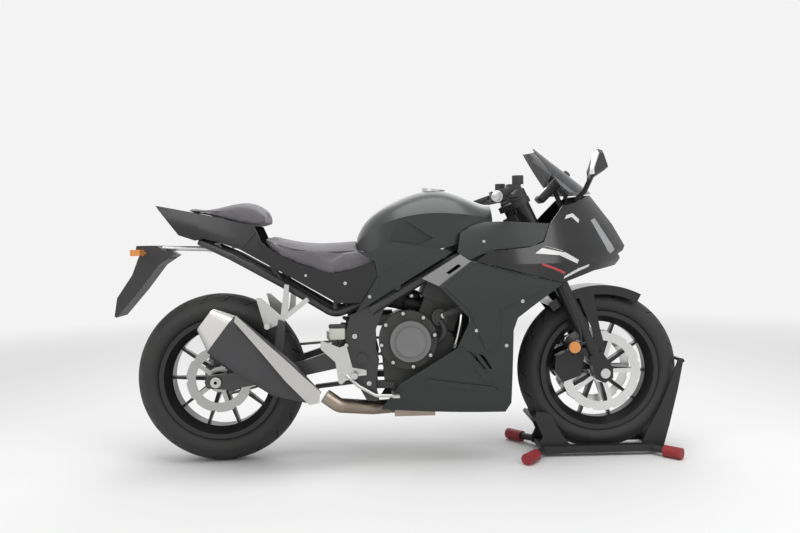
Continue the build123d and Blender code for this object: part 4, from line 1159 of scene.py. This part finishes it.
@dataclass
class Plumbing:
    """The moulded hoses of the cooling, the brake lines and the rear brake's bottle."""

    bench: Bench
    coolant_runs: tuple = (            # control points and outer radius, mm
        (((990, -156, 566), (950, -168, 570), (880, -170, 562), (830, -172, 545),
          (808, -160, 534)), 12),
        (((806, -158, 520), (826, -170, 490), (812, -172, 456), (790, -150, 440)), 10),
        (((990, 156, 400), (950, 160, 396), (880, 150, 410), (852, 120, 430)), 12),
    )
    clips: tuple = (                   # middle, a point further along the hose, radius, mm
        ((978, -160, 567), (950, -168, 570), 13.4),
        ((818, -167, 539), (808, -160, 534), 13.4),
        ((978, 157, 399), (950, 160, 396), 13.4),
    )
    clip_width: float = 0.009
    pipe_run: tuple = ((884, -150, 566), (884, -172, 540), (870, -174, 470), (858, -170, 430),
                       (852, -140, 416))
    pipe_radius: float = 0.0065
    brake_run: tuple = ((1300, 84, 372), (1318, 128, 400), (1322, 138, 470), (1268, 136, 600),
                        (1210, 118, 700), (1176, 60, 748))
    brake_radius: float = 0.0034
    bottle_run: tuple = ((438, -163, 462), (432, -164, 440), (440, -150, 400), (470, -146, 372))
    bottle_hose_radius: float = 0.004

    def hoses(self) -> None:
        """Lay the coolant hoses with their clips, the water pipe and the brake lines."""
        parts = [self.bench.tube(on_line(run), radius / 1000.0, 16)
                 for run, radius in self.coolant_runs]
        clips = [self.bench.drum(on_bike(*at), on_bike(*to) - on_bike(*at), radius / 1000.0,
                                 self.clip_width, 24, 0.001)
                 for at, to, radius in self.clips]
        self.bench.finish(parts, Place("cooling_hoses", Body.CHASSIS, "hose_rubber",
                                       "black_plastic"))
        self.bench.finish(clips, Place("hose_clips", Body.CHASSIS, "bright_steel", "axle_steel"))
        pipe = self.bench.tube(on_line(self.pipe_run), self.pipe_radius, 12)
        self.bench.finish([pipe], Place("water_pipe", Body.CHASSIS, "bright_steel", "axle_steel"))
        lines = [self.bench.tube(on_line(self.brake_run, side), self.brake_radius, 12)
                 for side in (-1, 1)]
        self.bench.finish(lines, Place("brake_lines", Body.STEERING, "hose_rubber",
                                       "black_plastic"))

    def bottle(self) -> None:
        """Fit the rear brake's fluid bottle over the right foot rest."""
        bottle = self.bench.slab(on_bike(438, -163, 482), Vector((0.056, 0.030, 0.042)), UP, 0.006)
        cap = self.bench.slab(on_bike(438, -163, 509), Vector((0.058, 0.032, 0.012)), UP, 0.003)
        hose = self.bench.tube(on_line(self.bottle_run), self.bottle_hose_radius, 12)
        self.bench.finish([bottle], Place("brake_bottle", Body.CHASSIS, "pale_plastic",
                                          "silver_alloy"))
        self.bench.finish([cap, hose], Place("brake_bottle_cap", Body.CHASSIS, "black_plastic",
                                             "black_plastic"))

    def work(self) -> None:
        """Fit the hoses, then the bottle."""
        self.hoses()
        self.bottle()


@dataclass
class FrontEnd:
    """What the rider sees and holds: reflectors, grips, mirrors' glass and instruments."""

    bench: Bench
    lens_radius: float = 0.0215
    bracket_radius: float = 0.0240
    stalk: tuple = ((1302, 122, 412), (1330, 120, 424), (1356, 110, 430))
    stalk_radius: float = 0.005
    grip_inner: Point = (1092, 150, 985)
    grip_outer: Point = (988, 348, 950)
    grip_rings: int = 16
    first_ring: float = 0.46           # shares of the grip's run
    ring_step: float = 0.0335
    ring_radius: float = 0.0172
    ring_thick: float = 0.0013
    glass_beyond: float = 0.300        # mirror heads lie further out than this
    glass_border: float = 0.004
    glass_thick: float = 0.0012
    cluster_facing: Point = (-0.70, 0.0, 0.714)
    cluster_size: Point = (0.088, 0.150, 0.030)
    face_size: Point = (0.070, 0.126, 0.004)
    face_lift: float = 0.0155

    def reflectors(self) -> None:
        """Fit a round reflector behind each fork leg, on its bracket."""
        lenses, brackets = [], []
        for side in (-1, 1):
            centre = on_bike(1298, side * 128, 410)
            outward = Vector((0, side, 0))
            lenses.append(self.bench.drum(centre, outward, self.lens_radius, 0.008, 40, 0.002))
            brackets.append(self.bench.drum(centre - outward * 0.005, outward,
                                            self.bracket_radius, 0.006, 40, 0.001))
            brackets.append(self.bench.tube(on_line(self.stalk, side), self.stalk_radius, 8))
        self.bench.finish(lenses, Place("fork_reflectors", Body.STEERING, "amber_lens",
                                        "lens_amber"))
        self.bench.finish(brackets, Place("reflector_brackets", Body.STEERING, "black_plastic",
                                          "black_plastic"))

    def grips(self) -> None:
        """Ring the grips and weight the bars' ends."""
        rings, weights = [], []
        for side in (-1, 1):
            inner = on_bike(self.grip_inner[0], side * self.grip_inner[1], self.grip_inner[2])
            outer = on_bike(self.grip_outer[0], side * self.grip_outer[1], self.grip_outer[2])
            run = outer - inner
            for index in range(self.grip_rings):
                at = inner + run * (self.first_ring + index * self.ring_step)
                bpy.ops.object.select_all(action="DESELECT")
                bpy.ops.mesh.primitive_torus_add(major_radius=self.ring_radius,
                                                 minor_radius=self.ring_thick,
                                                 major_segments=28, minor_segments=6, location=at)
                ring = bpy.context.object
                self.bench.turn_to(ring, run)
                rings.append(ring)
            ahead = run.normalized()
            for lift, radius, depth, bevel in ((0.012, 0.0150, 0.024, 0.004),
                                               (0.002, 0.0195, 0.005, 0.001)):
                weights.append(self.bench.drum(outer + ahead * lift, run, radius, depth, 28, bevel))
        self.bench.finish(rings, Place("grip_rings", Body.STEERING, "grip_rubber",
                                       "black_plastic"))
        self.bench.finish(weights, Place("bar_ends", Body.STEERING, "bright_steel", "axle_steel"))

    def mirror_glass(self) -> None:
        """Set the glass into the back of each mirror head."""
        glass = self.bench.copy_of("mirrors")
        for face in glass.data.polygons:
            wide = abs(face.center.y) > self.glass_beyond
            face.select = not (wide and face.normal.x < -0.60)
        bpy.ops.object.mode_set(mode="EDIT")
        bpy.ops.mesh.select_mode(type="FACE")
        bpy.ops.mesh.delete(type="FACE")
        bpy.ops.mesh.select_all(action="SELECT")
        bpy.ops.mesh.dissolve_limited(angle_limit=math.radians(4))
        bpy.ops.mesh.inset(thickness=self.glass_border)
        bpy.ops.mesh.select_all(action="INVERT")
        bpy.ops.mesh.delete(type="FACE")
        bpy.ops.object.mode_set(mode="OBJECT")
        self.bench.apply(glass, "SOLIDIFY", thickness=self.glass_thick, offset=1.0)
        self.bench.finish([glass], Place("mirror_glass", Body.CHASSIS, "mirror_silver",
                                         "silver_metal"))

    def cluster(self) -> None:
        """Replace the plain block behind the screen with the instruments."""
        facing = Vector(self.cluster_facing)
        centre = on_bike(1250, 0, 1000)
        housing = self.bench.slab(centre, Vector(self.cluster_size), facing, 0.009)
        face = self.bench.slab(centre + facing * self.face_lift, Vector(self.face_size), facing,
                               0.0012)
        self.bench.finish([housing], Place("cluster_housing", Body.CHASSIS, "black_plastic",
                                           "black_plastic"), ("dash",))
        self.bench.finish([face], Place("cluster_face", Body.CHASSIS, "display_glass",
                                        "black_plastic"))

    def work(self) -> None:
        """Fit everything at the front end."""
        self.reflectors()
        self.grips()
        self.mirror_glass()
        self.cluster()


@dataclass
class RadiatorCore:
    """The fins on the radiator's front and back."""

    bench: Bench
    fin_size: Point = (0.0030, 0.292, 0.0016)
    face_out: float = 0.0128
    lowest: float = -0.138
    step: float = 0.0069
    count: int = 41
    lean: float = 8.0

    def work(self) -> None:
        """Line both faces with fins."""
        fin = self.bench.slab(Vector(), Vector(self.fin_size), UP, 0.0003)
        lean = Matrix.Rotation(math.radians(self.lean), 4, "Y")
        turn = Matrix.Translation(on_bike(1004, 0, 486)) @ lean
        places = [turn @ Matrix.Translation((side * self.face_out, 0.0,
                                             self.lowest + index * self.step))
                  for side in (-1, 1) for index in range(self.count)]
        fins = self.bench.copies(fin, places)
        self.bench.finish(fins, Place("radiator_fins", Body.CHASSIS, "radiator_fins",
                                      "radiator_black"))


@dataclass
class NoseFlashes:
    """Plain slanted flashes on the nose's flanks."""

    bench: Bench
    steps: int = 24
    lift: float = 0.0004
    thick: float = 0.0004
    white: tuple = (         # rows of lower and upper points across each flash, x and z in mm
        (((1138, 756), (1176, 782)), ((1228, 748), (1240, 764)), ((1298, 716), (1304, 729))),
        (((1262, 876), (1270, 890)), ((1290, 884), (1296, 898)), ((1316, 862), (1322, 874))),
        (((1242, 664), (1246, 673)), ((1300, 688), (1302, 699)), ((1346, 704), (1350, 713))),
    )
    red: tuple = ((((1160, 714), (1163, 722)), ((1206, 698), (1209, 706)),
                   ((1246, 680), (1250, 688))),)

    def flash(self, rows: Sequence, side: int) -> bpy.types.Object:
        """Lay one flash on the nose's flank.

        Args:
            rows: Lower and upper points across it, from its rear end to its front end.
            side: 1 or -1.

        Returns:
            The flash.
        """
        bpy.ops.object.select_all(action="DESELECT")
        bpy.ops.mesh.primitive_grid_add(x_subdivisions=self.steps, y_subdivisions=3, size=2.0)
        sheet = bpy.context.object
        for vertex in sheet.data.vertices:
            along = (vertex.co.x + 1.0) / 2.0 * (len(rows) - 1)
            across = (vertex.co.y + 1.0) / 2.0
            first = min(int(along), len(rows) - 2)
            share = along - first
            low = [a + (b - a) * share for a, b in zip(rows[first][0], rows[first + 1][0])]
            high = [a + (b - a) * share for a, b in zip(rows[first][1], rows[first + 1][1])]
            x, z = (a + (b - a) * across for a, b in zip(low, high))
            vertex.co = on_bike(x, side * 300, z)
        self.bench.apply(sheet, "SHRINKWRAP", target=self.bench.nodes["nose_cowl"],
                         wrap_method="PROJECT", use_project_y=True, use_negative_direction=side > 0,
                         use_positive_direction=side < 0, offset=self.lift)
        self.bench.apply(sheet, "SOLIDIFY", thickness=self.thick, offset=0.0)
        return sheet

    def work(self) -> None:
        """Lay the white flashes, then the red ones."""
        for name, finish, group in (("white_flashes", "flash_white", self.white),
                                    ("red_flashes", "flash_red", self.red)):
            parts = [self.flash(rows, side) for side in (-1, 1) for rows in group]
            self.bench.finish(parts, Place(name, Body.CHASSIS, finish, "trim_silver"))


# ---------------------------------------------------------------- studio
@dataclass
class Studio:
    """Pale floor, soft light and the camera."""

    floor_half: float = 14.0
    floor_grey: float = 0.80
    backdrop_grey: float = 0.90
    fade_from: float = 2.0
    fade_to: float = 6.5
    world_level: float = 0.42
    camera_at: Point = (-0.09559, -2.92278, 0.80180)
    yaw: float = 0.0291
    pitch: float = 0.0308
    roll: float = -0.0171
    lens: float = 34.946
    lamps: tuple[tuple[Point, float, float], ...] = field(default=(
        ((0.0, -0.6, 4.2), 3.4, 120.0),
        ((2.4, -3.0, 2.6), 2.2, 38.0),
        ((-2.8, -2.6, 2.4), 2.0, 24.0),
        ((0.3, 3.4, 3.2), 3.4, 60.0),
    ))

    def camera_matrix(self) -> Matrix:
        """Work out where the camera stands and how it is turned.

        Returns:
            The camera's matrix.
        """
        ahead = Vector((math.sin(self.yaw) * math.cos(self.pitch),
                        math.cos(self.yaw) * math.cos(self.pitch), -math.sin(self.pitch)))
        right = Vector((math.cos(self.yaw), -math.sin(self.yaw), 0.0))
        above = right.cross(ahead)
        across = right * math.cos(self.roll) + above * math.sin(self.roll)
        upright = above * math.cos(self.roll) - right * math.sin(self.roll)
        turned = Matrix((across, upright, -ahead)).transposed().to_4x4()
        turned.translation = Vector(self.camera_at)
        return turned

    def place_camera(self) -> None:
        """Set up the camera."""
        data = bpy.data.cameras.new("camera")
        data.lens = self.lens
        data.sensor_width = 36.0
        camera = bpy.data.objects.new("camera", data)
        bpy.context.scene.collection.objects.link(camera)
        camera.matrix_world = self.camera_matrix()
        bpy.context.scene.camera = camera

    def lay_floor(self) -> None:
        """Lay the pale floor."""
        bpy.ops.object.select_all(action="DESELECT")
        bpy.ops.mesh.primitive_plane_add(size=2 * self.floor_half, location=(0, 0, 0))
        floor = bpy.context.object
        floor.name = "floor"
        material = bpy.data.materials.new("floor")
        material.use_nodes = True
        shader = material.node_tree.nodes["Principled BSDF"]
        shader.inputs["Base Color"].default_value = (*([self.floor_grey] * 3), 1.0)
        shader.inputs["Roughness"].default_value = 0.7
        self.fade_floor(material.node_tree, shader)
        floor.data.materials.append(material)

    def fade_floor(self, tree: bpy.types.NodeTree, shader: bpy.types.Node) -> None:
        """Let the floor run into the backdrop far from the machine.

        Args:
            tree: The floor's node tree.
            shader: The floor's own shader, which is kept near the machine.
        """
        where = tree.nodes.new("ShaderNodeTexCoord")
        far = tree.nodes.new("ShaderNodeVectorMath")
        far.operation = "LENGTH"
        fade = tree.nodes.new("ShaderNodeMapRange")
        fade.interpolation_type = "SMOOTHSTEP"
        fade.inputs["From Min"].default_value = self.fade_from
        fade.inputs["From Max"].default_value = self.fade_to
        glow = tree.nodes.new("ShaderNodeEmission")
        glow.inputs["Color"].default_value = (*([self.backdrop_grey] * 3), 1.0)
        share = tree.nodes.new("ShaderNodeMath")
        share.operation = "MULTIPLY"
        mix = tree.nodes.new("ShaderNodeMixShader")
        tree.links.new(where.outputs["Object"], far.inputs[0])
        tree.links.new(far.outputs["Value"], fade.inputs["Value"])
        tree.links.new(fade.outputs["Result"], share.inputs[0])
        tree.links.new(self.seen_rays(tree), share.inputs[1])
        tree.links.new(share.outputs[0], mix.inputs[0])
        tree.links.new(shader.outputs[0], mix.inputs[1])
        tree.links.new(glow.outputs[0], mix.inputs[2])
        tree.links.new(mix.outputs[0], tree.nodes["Material Output"].inputs["Surface"])

    def seen_rays(self, tree: bpy.types.NodeTree) -> bpy.types.NodeSocket:
        """Mark the rays that see the backdrop: those of the camera, of gloss and of glass.

        Args:
            tree: The node tree that the marks are made in.

        Returns:
            A socket that is 1 for those rays and 0 for the others.
        """
        rays = tree.nodes.new("ShaderNodeLightPath")
        through = tree.nodes.new("ShaderNodeMath")
        through.operation = "MAXIMUM"
        seen = tree.nodes.new("ShaderNodeMath")
        seen.operation = "MAXIMUM"
        tree.links.new(rays.outputs["Is Glossy Ray"], through.inputs[0])
        tree.links.new(rays.outputs["Is Transmission Ray"], through.inputs[1])
        tree.links.new(rays.outputs["Is Camera Ray"], seen.inputs[0])
        tree.links.new(through.outputs[0], seen.inputs[1])
        return seen.outputs[0]

    def hang_lamps(self) -> None:
        """Hang the soft lamps round the machine."""
        for index, (place, size, watts) in enumerate(self.lamps):
            data = bpy.data.lights.new(f"lamp_{index}", "AREA")
            data.energy = watts
            data.size = size
            lamp = bpy.data.objects.new(f"lamp_{index}", data)
            bpy.context.scene.collection.objects.link(lamp)
            lamp.location = place
            aim = Vector((0, 0, 0.5)) - Vector(place)
            lamp.rotation_euler = aim.to_track_quat("-Z", "Y").to_euler()

    def light_world(self) -> None:
        """Light the room evenly, with a pale backdrop behind it."""
        world = bpy.data.worlds.new("studio")
        world.use_nodes = True
        tree = world.node_tree
        tree.nodes.clear()
        out = tree.nodes.new("ShaderNodeOutputWorld")
        mix = tree.nodes.new("ShaderNodeMixShader")
        room = tree.nodes.new("ShaderNodeBackground")
        room.inputs["Color"].default_value = (1.0, 1.0, 1.0, 1.0)
        room.inputs["Strength"].default_value = self.world_level
        backdrop = tree.nodes.new("ShaderNodeBackground")
        backdrop.inputs["Color"].default_value = (*([self.backdrop_grey] * 3), 1.0)
        tree.links.new(self.seen_rays(tree), mix.inputs[0])
        tree.links.new(room.outputs[0], mix.inputs[1])
        tree.links.new(backdrop.outputs[0], mix.inputs[2])
        tree.links.new(mix.outputs[0], out.inputs["Surface"])
        bpy.context.scene.world = world

    def build(self) -> None:
        """Set up the whole studio."""
        bpy.context.scene.view_settings.view_transform = "Standard"
        self.place_camera()
        self.lay_floor()
        self.hang_lamps()
        self.light_world()


def main() -> None:
    """Build the whole scene."""
    logging.basicConfig(level=logging.INFO, format="%(name)s: %(message)s")
    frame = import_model()
    Studio().build()
    shop = FinishShop()
    shop.dress_nodes(frame)
    bench = Bench(shop, frame)
    Upholsterer(bench).work()
    WheelWright(bench).work()
    for assembly in (ThrottleBay, Fasteners, Plumbing, FrontEnd, RadiatorCore, NoseFlashes):
        assembly(bench).work()


if __name__ == "__main__":
    main()
